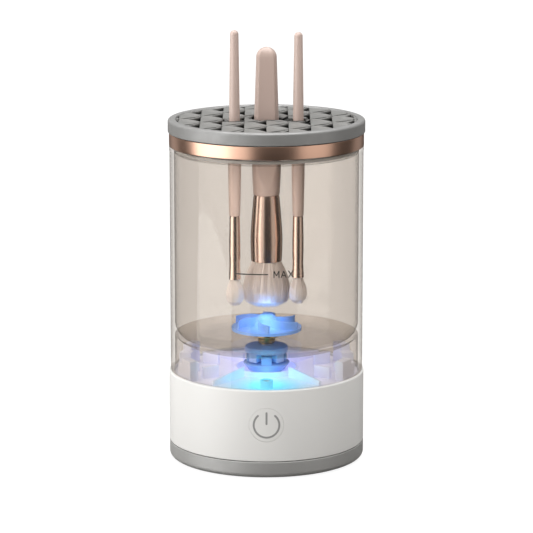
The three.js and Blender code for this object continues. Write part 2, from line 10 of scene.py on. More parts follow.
import bmesh
import bpy
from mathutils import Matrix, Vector


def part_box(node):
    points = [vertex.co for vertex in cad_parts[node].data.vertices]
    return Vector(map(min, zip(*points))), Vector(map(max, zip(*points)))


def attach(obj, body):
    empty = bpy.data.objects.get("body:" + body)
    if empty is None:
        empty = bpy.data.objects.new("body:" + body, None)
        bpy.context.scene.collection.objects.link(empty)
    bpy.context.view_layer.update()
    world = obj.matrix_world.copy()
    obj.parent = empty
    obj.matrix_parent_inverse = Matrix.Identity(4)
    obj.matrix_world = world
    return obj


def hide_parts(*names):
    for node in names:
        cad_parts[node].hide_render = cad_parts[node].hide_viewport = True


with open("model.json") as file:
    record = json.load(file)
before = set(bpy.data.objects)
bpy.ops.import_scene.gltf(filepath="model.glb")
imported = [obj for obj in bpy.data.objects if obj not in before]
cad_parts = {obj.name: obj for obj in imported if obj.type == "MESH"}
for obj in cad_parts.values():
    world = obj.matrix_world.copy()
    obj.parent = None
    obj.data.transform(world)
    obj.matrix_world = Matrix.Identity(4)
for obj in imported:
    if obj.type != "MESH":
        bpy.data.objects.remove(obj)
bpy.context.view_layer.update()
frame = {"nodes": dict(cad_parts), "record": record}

MM = 0.001
SMALL_ROUND = 64            # segments of a shaft, screw or post
MEDIUM_ROUND = 96           # segments of a handle or the button
ROUND = 160                 # segments of a large round piece
VERY_ROUND = 192            # segments of the pieces that make the outline
SMOOTH_ANGLE = math.radians(32)


# ---- places and sizes, from the frame where it has them --------------
def bottom(node):
    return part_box(node)[0].z / MM


def top(node):
    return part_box(node)[1].z / MM


def radius(node):
    low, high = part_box(node)
    return (high.x - low.x) / 2 / MM


def centre(node):
    low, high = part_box(node)
    return (low.x + high.x) / 2 / MM, (low.y + high.y) / 2 / MM


SLOTS = {subpart["node"]: subpart["material_slot"] for subpart in frame["record"]["subparts"]}
BODIES = {node: body for body, nodes in frame["record"]["behaviour"]["bodies"].items() for node in nodes}

# Base
BASE_RADIUS = radius("base_housing")
HOUSING_BOTTOM = bottom("base_housing")
HOUSING_TOP = top("base_housing")
WALL_INNER = BASE_RADIUS - 2.7
LEDGE_INNER, LEDGE_TOP = 40.5, 41.9
COVER_BOTTOM = bottom("bottom_cover")
COVER_TOP = HOUSING_BOTTOM - 0.3
COVER_EDGE = 2.5
COVER_STEP, COVER_FLOOR = 12, 3
GROOVE_INNER, GROOVE_OUTER, GROOVE_TOP = 31, 37, 1.9
FOOT_RING_WIDTH = 5.4
COVER_SCREW_CIRCLE = 42.6
DECK_POST_CIRCLE = 38.0
COVER_POST_BORE, COVER_POST = 1.65, 3.4
DECK_BOTTOM, DECK_TOP = 42.2, 44.2
RIB_START, RIB_END = 18.5, 43
PORT_HOLE_WIDTH, PORT_HOLE_HEIGHT, PORT_MIDDLE = 10.1, 3.9, 15.7
BUTTON_HEIGHT = sum(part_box("button_cap")[i].z for i in (0, 1)) / 2 / MM
BUTTON_RADIUS, BUTTON_HOLE, BUTTON_FLANGE = 8.7, 8.75, 10.4
SYMBOL_RADIUS, SYMBOL_HALF_STROKE = 6.4, 0.5
INK_PROUD = 0.04
CAP_STEPS = 8               # steps round the end of a printed stroke

# Tank and drive
TANK_RADIUS = radius("tank") - 0.2
TANK_INNER = TANK_RADIUS - 2.3
TANK_BOTTOM = bottom("tank")
TANK_TOP = top("tank")
FLOOR_TOP, FLOOR_UNDER = 62.0, 59.6
CORNER = 9.0
MARK_HEIGHT = 104.8
MARK_LEFT, MARK_RIGHT = -15.4, 0.8
MARK_LINE = 0.6
MARK_PROUD, MARK_BACK = 0.07, 0.01
LETTERS_LEFT, LETTER_PITCH = 3.7, 3.6
LETTER_WIDTH, LETTER_HEIGHT, LETTER_STROKE = 2.5, 3.5, 0.5
LETTERS = {                 # strokes (x, z, x, z) as shares of a letter's width and height
    "M": [(0, 0, 0, 1), (0, 1, 0.5, 0.3), (0.5, 0.3, 1, 1), (1, 1, 1, 0)],
    "A": [(0, 0, 0.5, 1), (0.5, 1, 1, 0), (0.2, 0.33, 0.8, 0.33)],
    "X": [(0, 0, 1, 1), (0, 1, 1, 0)],
}
SHAFT_RADIUS, SHAFT_BORE = 1.5, 1.75
HUB_TOP = 49.3
TOOTH_INNER, TOOTH_OUTER, TOOTH_HALF_ANGLE = 5, 10.4, 15
COUPLING_BOTTOM = 54.5
WHEEL_RADIUS = 18

# Lid and brushes
RING_BOTTOM = bottom("trim_ring")
RING_TOP = top("trim_ring")
RING_RADIUS = radius("trim_ring")
CAP_RADIUS = radius("brush_holder")
CAP_BOTTOM = 169.0
CAP_TOP = top("brush_holder")
CAP_EDGE = 1.3
FIELD_TOP = CAP_TOP - 0.4
FIELD_RADIUS = 46.0
PITCH_X, PITCH_Y = 11.1, 11.0
SLIT_SHARE = 0.78           # part of a cell's height that the slit opens
NOTCH, RIM_NOTCH = 0.68, 0.4
FOLD_DEPTH = 3.6
FLAP_THICKNESS, WEB_THICKNESS = 2.4, 1.6
WEB_WIDTH = 1.3
WEB_CLEARANCE = 2.3
BRUSH_HOLES = {"left": 3.6, "middle": 7.7, "right": 3.6}
BRUSH_CENTRES = {brush: centre(f"{brush}_handle") for brush in BRUSH_HOLES}
HOLE_GAP = 0.3
BEND_REACH, BEND_DEPTH = 3.0, 1.3
FERRULE_WALL = 0.5

# Camera, floor and light, in metres
AIM_HEIGHT = 0.0988
CAMERA_DISTANCE = 1.4707
CAMERA_TILT = math.radians(11.593)
LENS = 193.94
AIM_OF_PANELS = 0.3
PANEL_LENGTH = 1.6
FLOOR_GLOW = 1.45

# Colour, roughness, share of tone variation, scale of the grain and its depth
MOULDED = {
    "white_plastic": ((0.72, 0.714, 0.70), 0.4, 0.012, 6000.0, 0.006),
    "grey_plastic": ((0.26, 0.258, 0.25), 0.54, 0.03, 5200.0, 0.02),
    "foot_rubber": ((0.07, 0.068, 0.065), 0.8, 0.1, 3000.0, 0.03),
    "silicone": ((0.152, 0.15, 0.145), 0.54, 0.035, 4200.0, 0.025),
    "pale_silicone": ((0.62, 0.615, 0.60), 0.5),
    "nude_lacquer": ((0.59, 0.455, 0.40), 0.36, 0.02, 3600.0, 0.006),
    "black_plastic": ((0.025, 0.025, 0.027), 0.5),
    "circuit_green": ((0.02, 0.13, 0.06), 0.4, 0.15, 900.0, 0.02),
    "battery_foil": ((0.45, 0.5, 0.56), 0.4, 0.08, 700.0, 0.05),
    "lead_red": ((0.42, 0.04, 0.03), 0.45, 0.05),
    "symbol_grey": ((0.29, 0.288, 0.285), 0.4, 0.04),
    "mark_grey": ((0.05, 0.047, 0.044), 0.6, 0.05),
    "white_coupling": ((0.50, 0.62, 0.95), 0.4),
}
EXTRA_SOCKETS = {
    "grey_plastic": {"Specular_IOR_Level": 1.0, "IOR": 1.9},
    "silicone": {"Specular_IOR_Level": 1.0, "IOR": 1.9},
    "nude_lacquer": {"Coat_Weight": 0.35, "Coat_Roughness": 0.25},
    "battery_foil": {"Metallic": 0.6},
}
# Colour, roughness and scale of the fine lines
METALS = {
    "rose_gold": ((0.80, 0.50, 0.37), 0.3, 6000.0),
    "ferrule_gold": ((0.97, 0.77, 0.67), 0.25, 9000.0),
    "steel": ((0.62, 0.62, 0.63), 0.28),
    "brass": ((0.78, 0.60, 0.32), 0.25),
}
CLEAR_TINTS = {"clear_plastic": (0.880, 0.857, 0.834), "lip_plastic": (0.90, 0.895, 0.885)}


# ---- mesh helpers ----------------------------------------------------
def apply_modifiers(obj):
    bpy.context.view_layer.update()
    evaluated = obj.evaluated_get(bpy.context.evaluated_depsgraph_get())
    mesh = bpy.data.meshes.new_from_object(evaluated)
    obj.modifiers.clear()
    obj.data = mesh


def soften(mesh):
    """Smooth shading with edges kept sharp where faces meet at a steep angle."""
    bm = bmesh.new()
    bm.from_mesh(mesh)
    for face in bm.faces:
        face.smooth = True
    for edge in bm.edges:
        edge.smooth = len(edge.link_faces) != 2 or edge.calc_face_angle(0) < SMOOTH_ANGLE
    bm.to_mesh(mesh)
    bm.free()


def build(bm, name, material, bevel=0.0):
    """One object from a bmesh in millimetres."""
    bmesh.ops.remove_doubles(bm, verts=bm.verts, dist=1e-4)
    bmesh.ops.recalc_face_normals(bm, faces=bm.faces)
    bmesh.ops.scale(bm, vec=(MM, MM, MM), verts=bm.verts)
    mesh = bpy.data.meshes.new(name)
    bm.to_mesh(mesh)
    bm.free()
    obj = bpy.data.objects.new(name, mesh)
    bpy.context.scene.collection.objects.link(obj)
    if bevel:
        modifier = obj.modifiers.new("edges", "BEVEL")
        modifier.width = bevel * MM
        modifier.segments = 2
        modifier.limit_method = "ANGLE"
        modifier.angle_limit = math.radians(40)
        apply_modifiers(obj)
    obj.data.materials.append(material)
    soften(obj.data)
    return obj


def carve(obj, *cutters):
    """Cuts the cutters, bmeshes in millimetres, out of an object."""
    material = obj.data.materials[0]
    for cutter in cutters:
        tool = build(cutter, "cutter", material)
        modifier = obj.modifiers.new("cut", "BOOLEAN")
        modifier.operation = "DIFFERENCE"
        modifier.solver = "EXACT"
        modifier.object = tool
        apply_modifiers(obj)
        obj.data.materials.clear()
        obj.data.materials.append(material)
        bpy.data.objects.remove(tool)
    soften(obj.data)
    return obj


def arc(x, y, size, start, stop, steps):
    """Points on an arc about (x, y), angles in degrees."""
    angles = [math.radians(start + (stop - start) * i / steps) for i in range(steps + 1)]
    return [(x + size * math.cos(a), y + size * math.sin(a)) for a in angles]


def circle(x, y, size, count, start=0.0):
    return arc(x, y, size, start, start + 360, count)[:-1]


def tube(inner, outer, low, high):
    """Profile of a tube, or of a rod where inner is 0."""
    return [(inner, low), (outer, low), (outer, high), (inner, high)]


def bridge(bm, loops):
    """Faces from each loop of vertices to the next; a loop may be a single vertex."""
    for near, far in zip(loops, loops[1:]):
        count = max(len(near), len(far))
        for i in range(count):
            j = (i + 1) % count
            corners = [near[i % len(near)], near[j % len(near)], far[j % len(far)], far[i % len(far)]]
            corners = list(dict.fromkeys(corners))
            if len(corners) > 2:
                bm.faces.new(corners)


def lathe(bm, profile, segments=ROUND, at=(0.0, 0.0)):
    """Turns a profile of (radius, z) about a vertical axis; it is closed unless it ends on the axis."""
    rings = []
    for size, z in profile:
        places = [at] if size < 1e-6 else circle(*at, size, segments)
        rings.append([bm.verts.new((x, y, z)) for x, y in places])
    closed = len(rings[0]) > 1 and len(rings[-1]) > 1
    bridge(bm, rings + rings[:1] if closed else rings)


def rounded(profile, size, steps=4):
    """The profile with each clear corner replaced by a small curve."""
    closed = not (profile[0][0] == 0 and profile[-1][0] == 0)
    count = len(profile)
    out = []
    for i, point in enumerate(profile):
        here = Vector(point)
        before = Vector(profile[i - 1]) - here
        after = Vector(profile[(i + 1) % count]) - here
        end = not closed and i in (0, count - 1)
        if end or here.x < 1e-6 or before.angle(after, math.pi) > math.radians(155):
            out.append(tuple(point))
            continue
        reach = min(size, before.length * 0.45, after.length * 0.45)
        start = here + before.normalized() * reach
        stop = here + after.normalized() * reach
        for k in range(steps + 1):
            t = k / steps
            out.append(tuple(start.lerp(here, t).lerp(here.lerp(stop, t), t)))
    return out


def prism(bm, outline, low, high):
    """A flat outline of (x, y) raised between two heights; high may be a function of the point."""
    heights = [high(p) if callable(high) else high for p in outline]
    under = [bm.verts.new((x, y, low)) for x, y in outline]
    over = [bm.verts.new((x, y, z)) for (x, y), z in zip(outline, heights)]
    bm.faces.new(under[::-1])
    bm.faces.new(over)
    bridge(bm, [under, over])


def level_bar(bm, outline, y0, y1):
    """An outline of (x, z) drawn out along Y."""
    near = [bm.verts.new((x, y0, z)) for x, z in outline]
    far = [bm.verts.new((x, y1, z)) for x, z in outline]
    bm.faces.new(near)
    bm.faces.new(far[::-1])
    bridge(bm, [near, far])


def sector(inner, outer, start, stop, steps=12):
    """Outline of a piece of a ring between two angles in degrees."""
    return arc(0, 0, outer, start, stop, steps) + arc(0, 0, inner, stop, start, steps)


def slot_outline(width, height, middle):
    """A level slot with round ends, as (x, z), about x = 0 and the height middle."""
    right = arc((width - height) / 2, 0, height / 2, -90, 90, 12)
    return [(x, middle + z) for x, z in right + [(-x, -z) for x, z in right]]


def turned(outline, degrees):
    c, s = math.cos(math.radians(degrees)), math.sin(math.radians(degrees))
    return [(x * c - y * s, x * s + y * c) for x, y in outline]


def patch(bm, surface, columns, rows, thickness):
    """A closed slab under a grid surface(u, v) that gives a point in millimetres."""
    over = [[surface(i / columns, j / rows) for j in range(rows + 1)] for i in range(columns + 1)]
    grids = []
    for drop in (0.0, thickness):
        grids.append([[bm.verts.new((x, y, z - drop)) for x, y, z in line] for line in over])
    upper, lower = grids
    for i in range(columns):
        for j in range(rows):
            bm.faces.new((upper[i][j], upper[i + 1][j], upper[i + 1][j + 1], upper[i][j + 1]))
            bm.faces.new((lower[i][j], lower[i][j + 1], lower[i + 1][j + 1], lower[i + 1][j]))
    edge = [(i, 0) for i in range(columns)] + [(columns, j) for j in range(rows)]
    edge += [(i, rows) for i in range(columns, 0, -1)] + [(0, j) for j in range(rows, 0, -1)]
    for (a, b), (c, d) in zip(edge, edge[1:] + edge[:1]):
        bm.faces.new((upper[a][b], lower[a][b], lower[c][d], upper[c][d]))


# ---- materials -------------------------------------------------------
class Shader:
    """A node material round one Principled shader."""

    def __init__(self, name, **sockets):
        self.material = bpy.data.materials.new(name)
        self.material.use_nodes = True
        self.tree = self.material.node_tree
        self.principled = self.tree.nodes["Principled BSDF"]
        for socket, value in sockets.items():
            self.principled.inputs[socket.replace("_", " ")].default_value = value
        self.place = self.add("ShaderNodeTexCoord").outputs["Object"]

    def add(self, kind, **values):
        node = self.tree.nodes.new(kind)
        for name, value in values.items():
            setattr(node, name, value)
        return node

    def link(self, source, target):
        self.tree.links.new(source, target)

    def feed(self, value, socket):
        if isinstance(value, bpy.types.NodeSocket):
            self.link(value, socket)
        elif isinstance(value, (tuple, list)):
            socket.default_value = (*value, 1.0)[:4]
        else:
            socket.default_value = value

    def set(self, socket, value):
        self.feed(value, self.principled.inputs[socket])

    def noise(self, scale, detail=3.0, stretch=(1, 1, 1)):
        mapping = self.add("ShaderNodeMapping")
        mapping.inputs["Scale"].default_value = stretch
        self.link(self.place, mapping.inputs["Vector"])
        noise = self.add("ShaderNodeTexNoise")
        noise.inputs["Scale"].default_value = scale
        noise.inputs["Detail"].default_value = detail
        self.link(mapping.outputs["Vector"], noise.inputs["Vector"])
        return noise.outputs["Fac"]

    def spread(self, value, low, high, start=0.35, stop=0.65):
        """Maps a value from between start and stop to between low and high."""
        node = self.add("ShaderNodeMapRange")
        for socket, number in zip(("From Min", "From Max", "To Min", "To Max"), (start, stop, low, high)):
            node.inputs[socket].default_value = number
        self.link(value, node.inputs["Value"])
        return node.outputs["Result"]

    def blend(self, factor, first, second, mode="MIX"):
        node = self.add("ShaderNodeMix", data_type="RGBA", blend_type=mode)
        for socket, value in zip(("Factor", "A", "B"), (factor, first, second)):
            self.feed(value, node.inputs[socket])
        return node.outputs["Result"]

    def mix(self, factor, first, second):
        """The first shader where the factor is 0, the second one where it is 1."""
        node = self.add("ShaderNodeMixShader")
        for value, socket in zip((factor, first, second), node.inputs):
            self.feed(value, socket)
        return node.outputs["Shader"]

    def math(self, operation, *values):
        node = self.add("ShaderNodeMath", operation=operation)
        for value, socket in zip(values, node.inputs):
            self.feed(value, socket)
        return node.outputs["Value"]

    def bump(self, height, strength, distance):
        node = self.add("ShaderNodeBump")
        node.inputs["Strength"].default_value = strength
        node.inputs["Distance"].default_value = distance
        self.link(height, node.inputs["Height"])
        self.set("Normal", node.outputs["Normal"])

    def tint_base(self, factor, color):
        """Turns the base colour towards another one by a factor."""
        plain = self.principled.inputs["Base Color"].links[0].from_socket
        self.set("Base Color", self.blend(factor, plain, color))

    def show(self, surface):
        self.link(surface, self.tree.nodes["Material Output"].inputs["Surface"])


def shade(color, factor):
    return tuple(min(1.0, c * factor) for c in color)


def moulded(name, color, roughness, variation=0.03, grain=5000.0, depth=0.02, **sockets):
    """Moulded or coated surface: slight tone and gloss variation with a fine grain."""
    shader = Shader(name, **sockets)
    broad = shader.noise(28.0, 2.0)
    shader.set("Base Color", shader.blend(broad, shade(color, 1 - variation), shade(color, 1 + variation)))
    shader.set("Roughness", shader.spread(shader.noise(160.0, 4.0), roughness * 0.88, roughness * 1.12))
    shader.bump(shader.noise(grain, 3.0), 0.35, depth * MM)
    return shader


def turned_metal(name, color, roughness, lines=2600.0):
    """Polished metal with fine lines that run round the axis."""
    shader = Shader(name, Metallic=1.0)
    streaks = shader.noise(lines, 2.0, stretch=(0.004, 0.004, 1.0))
    shader.set("Base Color", shader.blend(streaks, shade(color, 0.98), shade(color, 1.02)))
    shader.set("Roughness", shader.spread(streaks, roughness * 0.92, roughness * 1.08))
    shader.bump(streaks, 0.004, 0.002 * MM)
    return shader.material


def see_through(name, tint):
    """Thin clear plastic: what lies behind, a little tinted, under a gloss that grows towards the edge."""
    shader = Shader(name)
    shader.tree.nodes.remove(shader.principled)
    weight = shader.add("ShaderNodeLayerWeight")
    weight.inputs["Blend"].default_value = 0.5
    facing = weight.outputs["Facing"]
    middle = shader.blend(shader.noise(35.0, 2.0), shade(tint, 0.985), shade(tint, 1.015))
    clear = shader.add("ShaderNodeBsdfTransparent")
    colour = shader.blend(shader.math("POWER", facing, 3.0), middle, shade(tint, 0.93))
    shader.feed(colour, clear.inputs["Color"])
    mirror = shader.add("ShaderNodeBsdfGlossy")
    shader.feed((1.0, 0.985, 0.97), mirror.inputs["Color"])
    shader.feed(shader.spread(shader.noise(60.0, 3.0), 0.03, 0.07), mirror.inputs["Roughness"])
    gloss = shader.math("MULTIPLY_ADD", shader.math("POWER", facing, 5.0), 0.5, 0.026)
    wall = shader.mix(gloss, clear.outputs["BSDF"], mirror.outputs["BSDF"])
    open_to_lamps = shader.add("ShaderNodeBsdfTransparent").outputs["BSDF"]
    shader.show(shader.mix(shader.add("ShaderNodeLightPath").outputs["Is Shadow Ray"], wall, open_to_lamps))
    return shader.material


def distance_from(shader, point, scale=(1, 1, 1)):
    """Distance in metres of the surface from a point given in millimetres, with each axis scaled."""
    mapping = shader.add("ShaderNodeMapping", vector_type="POINT")
    mapping.inputs["Location"].default_value = [-p * MM * s for p, s in zip(point, scale)]
    mapping.inputs["Scale"].default_value = scale
    shader.link(shader.place, mapping.inputs["Vector"])
    length = shader.add("ShaderNodeVectorMath", operation="LENGTH")
    shader.link(mapping.outputs["Vector"], length.inputs[0])
    return length.outputs["Value"]


def glow(shader, layers):
    """Adds light that fades away from points: (point, scale, reach, colour, strength) for each layer."""
    total = (0.0, 0.0, 0.0)
    for point, scale, reach, colour, strength in layers:
        near = shader.spread(distance_from(shader, point, scale), 1.0, 0.0, 0.0, reach * MM)
        soft = shader.math("POWER", near, 1.6)
        layer = shader.blend(shader.math("MULTIPLY", soft, strength), (0.0, 0.0, 0.0), colour)
        total = shader.blend(1.0, total, layer, "ADD")
    shader.set("Emission Color", total)
    shader.set("Emission Strength", 1.0)


def frosted_material():
    """Frosted white plastic, lit cyan at the front, blue near the hub and violet further out."""
    shader = moulded("frosted_plastic", (0.80, 0.80, 0.86), 0.5, 0.03, 3000.0, 0.02)
    near_front = shader.spread(distance_from(shader, (0, -36, 44)), 0.9, 0.0, 8 * MM, 30 * MM)
    shader.tint_base(near_front, (0.12, 0.62, 0.72))
    glow(shader, [
        ((0, -34, 44), (1, 1, 1), 26.0, (0.02, 0.72, 0.95), 0.6),
        ((0, -18, 45), (1, 0.8, 1), 34.0, (0.10, 0.28, 0.55), 0.6),
        ((0, 10, 48), (1, 0.55, 1), 48.0, (0.16, 0.20, 0.72), 1.1),
        ((0, 0, 46), (1, 1, 1), 110.0, (0.50, 0.50, 0.60), 0.25),
    ])
    return shader.material


def blue_material(name, point, reach, strength):
    """Clear plastic that carries the blue light."""
    shader = moulded(name, (0.30, 0.50, 0.92), 0.16, 0.06, 1200.0, 0.01, Coat_Weight=0.5, Coat_Roughness=0.1)
    glow(shader, [
        (point, (1, 1, 1), reach, (0.16, 0.45, 0.95), strength),
        (point, (1, 1, 1), reach * 0.5, (0.35, 0.7, 0.9), strength * 0.6),
    ])
    shader.set("Alpha", 0.82)
    return shader.material


def flap_material():
    """The lid's silicone field, with painted light and shade: a lighter copy of the rim's silicone for a lit
    top, and painted shade that darkens it down in the folds and slits where little light reaches.
    """
    # painted light: a lighter grey than the rim's silicone of the same part, so the flap tops read as lit
    # from above
    shader = moulded("flap_silicone_painted_light_and_shade", (0.215, 0.213, 0.205), 0.45, 0.035, 4200.0, 0.025)
    height = shader.add("ShaderNodeSeparateXYZ")
    shader.link(shader.place, height.inputs["Vector"])
    # painted shade: the base colour turns almost black below the field top, standing in for the shade in the
    # folds and slits
    depth = shader.spread(height.outputs["Z"], 1.0, 0.0, (FIELD_TOP - 1.2) * MM, (FIELD_TOP - 0.4) * MM)
    shader.tint_base(depth, (0.012, 0.012, 0.011))
    return shader.material


def lamp_material():
    """The small lamps under the deck, lit pale blue."""
    shader = moulded("lamp", (0.6, 0.8, 1.0), 0.3)
    shader.set("Emission Color", (0.35, 0.75, 1.0))
    shader.set("Emission Strength", 3.0)
    return shader.material


def floor_material():
    """Pale studio floor: bright where it is seen, half-toned as light, absent in reflections."""
    shader = moulded("pale_floor", (0.38, 0.377, 0.37), 0.8, 0.004, 900.0, 0.01)
    shader.set("Specular IOR Level", 0.0)
    path = shader.add("ShaderNodeLightPath").outputs
    plain = shader.principled.outputs["BSDF"]
    bright = shader.add("ShaderNodeEmission")
    bright.inputs["Strength"].default_value = FLOOR_GLOW
    gone = shader.add("ShaderNodeBsdfTransparent").outputs["BSDF"]
    seen = shader.mix(0.62, plain, bright.outputs["Emission"])
    lit = shader.mix(path["Is Camera Ray"], plain, seen)
    shader.show(shader.mix(path["Is Glossy Ray"], lit, gone))
    return shader.material


def bristle_material():
    shader = Shader("bristle", Sheen_Weight=0.4, Sheen_Roughness=0.5)
    strands = shader.noise(2600.0, 3.0, stretch=(1.0, 1.0, 0.05))
    shader.set("Base Color", shader.blend(strands, (0.76, 0.67, 0.62), (0.88, 0.81, 0.76)))
    shader.set("Roughness", shader.spread(strands, 0.5, 0.75))
    shader.bump(strands, 0.6, 0.05 * MM)
    return shader.material


def make_materials():
    made = {}
    for name, look in MOULDED.items():
        made[name] = moulded(name, *look, **EXTRA_SOCKETS.get(name, {})).material
    for name, look in METALS.items():
        made[name] = turned_metal(name, *look)
    for name, tint in CLEAR_TINTS.items():
        made[name] = see_through(name, tint)
    made["flap_silicone_painted_light_and_shade"] = flap_material()
    made["frosted_plastic"] = frosted_material()
    made["blue_clear"] = blue_material("blue_clear", (0, -4, 68), 22.0, 0.9)
    made["hub_blue"] = blue_material("hub_blue", (0, -12, 46), 14.0, 0.55)
    made["bristle"] = bristle_material()
    made["lamp"] = lamp_material()
    made["floor"] = floor_material()
    return made


# ---- pieces ----------------------------------------------------------
MATERIALS = make_materials()


def finish_piece(obj, node, stands_for_it=True):
    """The piece rides the node's body and, as a rule, stands for it."""
    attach(obj, BODIES[node])
    if stands_for_it:
        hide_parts(node)


def add_piece(bm, name, node, material=None, bevel=0.0, stands_for_it=True):
    finish_piece(build(bm, name, MATERIALS[material or SLOTS[node]], bevel), node, stands_for_it)


def turned_piece(name, profile, node, segments=ROUND, at=(0.0, 0.0), material=None):
    bm = bmesh.new()
    lathe(bm, profile, segments, at)
    add_piece(bm, name, node, material)


def paint_frame():
    """Gives every CAD node the material of its slot."""
    for name, node in frame["nodes"].items():
        node.data.materials.clear()
        node.data.materials.append(MATERIALS[SLOTS[name]])


# ---- camera, floor and light -----------------------------------------
def make_camera():
    data = bpy.data.cameras.new("camera")
    data.lens = LENS
    data.sensor_width = 36.0
    camera = bpy.data.objects.new("camera", data)
    across = CAMERA_DISTANCE * math.cos(CAMERA_TILT)
    camera.location = (0.0, -across, AIM_HEIGHT + CAMERA_DISTANCE * math.sin(CAMERA_TILT))
    camera.rotation_euler = (math.pi / 2 - CAMERA_TILT, 0.0, 0.0)
    bpy.context.scene.collection.objects.link(camera)
    bpy.context.scene.camera = camera


def make_floor():
    bm = bmesh.new()
    lathe(bm, tube(0, 9000, -0.6, -0.02), MEDIUM_ROUND)
    build(bm, "floor", MATERIALS["floor"])


def add_light(name, kind, place, power, color, reflected):
    """A light at a place in metres; returns its data and its object."""
    data = bpy.data.lights.new(name, kind)
    data.energy = power
    data.color = color
    light = bpy.data.objects.new(name, data)
    light.location = place
    light.visible_glossy = reflected
    bpy.context.scene.collection.objects.link(light)
    return data, light


def spread_light(data, light, size, direction):
    """Makes an area light a rectangle that shines in a direction."""
    data.shape = "RECTANGLE"
    data.size, data.size_y = size
    light.rotation_euler = direction.to_track_quat("-Z", "Y").to_euler()


def panel(name, azimuth, distance, width, power, color, reflected=True):
    """A tall soft light; azimuth in degrees from the front, positive to the right."""
    angle = math.radians(azimuth)
    place = (distance * math.sin(angle), -distance * math.cos(angle), AIM_OF_PANELS)
    data, light = add_light(name, "AREA", place, power, color, reflected)
    spread_light(data, light, (width, PANEL_LENGTH), Vector((-place[0], -place[1], 0.0)))


def inside_panel(name, place, size, power, color):
    """A soft light inside the tank that faces the brushes; it stands in for light that wraps round."""
    data, light = add_light(name, "AREA", Vector(place) * MM, power, color, False)
    spread_light(data, light, (size[0] * MM, size[1] * MM), Vector((-place[0], -place[1], 0)))


def bulb(name, place, power, color, size):
    data, _ = add_light(name, "POINT", Vector(place) * MM, power, color, False)
    data.shadow_soft_size = size


def make_light():
    panel("key", -67, 1.3, 1.2, 16.0, (1.0, 0.995, 0.985))
    panel("key_wrap", -72, 1.3, 1.2, 3.5, (1.0, 0.995, 0.985), reflected=False)
    panel("key_edge", -30, 1.35, 0.5, 3.0, (1.0, 0.985, 0.965))
    panel("fill", 59, 1.4, 1.1, 4.3, (1.0, 0.97, 0.94))
    panel("left_rim", -138, 1.3, 0.6, 1.1, (1.0, 0.97, 0.94))
    panel("left_wrap", -120, 1.3, 0.6, 6.0, (1.0, 0.99, 0.98), reflected=False)
    panel("right_rim", 135, 1.3, 0.6, 0.9, (1.0, 0.97, 0.94))
    inside_panel("brush_light", (-12, -39, 124), (26, 60), 0.017, (1.0, 0.98, 0.96))
    sun, _ = add_light("overhead", "SUN", (0, 0, 0), 3.3, (1.0, 1.0, 1.0), True)
    sun.angle = math.radians(70)
    bulb("glow_front", (0, -30, 50), 0.006, (0.05, 0.7, 1.0), 0.004)
    bulb("glow_bowl", (0, -6, 78), 0.006, (0.15, 0.4, 1.0), 0.005)
    make_world()
    bpy.context.scene.view_settings.view_transform = "Standard"


def make_world():
    """Pale to the eye, an even soft light on the part, and dim at the horizon in its reflections."""
    world = bpy.data.worlds.new("studio")
    world.use_nodes = True
    tree = world.node_tree
    path = tree.nodes.new("ShaderNodeLightPath")
    direction = tree.nodes.new("ShaderNodeTexCoord")
    height = tree.nodes.new("ShaderNodeSeparateXYZ")
    tree.links.new(direction.outputs["Generated"], height.inputs["Vector"])
    rise = tree.nodes.new("ShaderNodeMapRange")
    rise.inputs["To Min"].default_value = 0.05
    rise.inputs["To Max"].default_value = 0.85
    tree.links.new(height.outputs["Z"], rise.inputs["Value"])
    previous = rise.outputs["Result"]
    tones = {"Is Diffuse Ray": (0.285, 0.278, 0.268, 1.0), "Is Camera Ray": (0.95, 0.95, 0.945, 1.0)}
    for ray, tone in tones.items():
        mix = tree.nodes.new("ShaderNodeMix")
        mix.data_type = "RGBA"
        tree.links.new(path.outputs[ray], mix.inputs["Factor"])
        tree.links.new(previous, mix.inputs["A"])
        mix.inputs["B"].default_value = tone
        previous = mix.outputs["Result"]
    tree.links.new(previous, tree.nodes["Background"].inputs["Color"])
    bpy.context.scene.world = world


# ---- base ------------------------------------------------------------
def cover_screw_places():
    return circle(0, 0, COVER_SCREW_CIRCLE, 4, 45)


def deck_post_places():
    return circle(0, 0, DECK_POST_CIRCLE, 4)


def make_base():
    make_bottom_cover()
    make_housing()
    make_deck()
    make_screws()
    outer = radius("foot_ring")
    ring = tube(outer - FOOT_RING_WIDTH, outer, bottom("foot_ring"), top("foot_ring"))
    turned_piece("foot_ring_soft", rounded(ring, 0.5), "foot_ring")
    seal = tube(SHAFT_BORE, 7.7, DECK_BOTTOM, 44.4)[:3] + [(4, 44.4), (3.4, 43.8), (SHAFT_BORE, 43.8)]
    turned_piece("deck_seal_soft", rounded(seal, 0.3), "deck_seal", SMALL_ROUND)
    make_port()


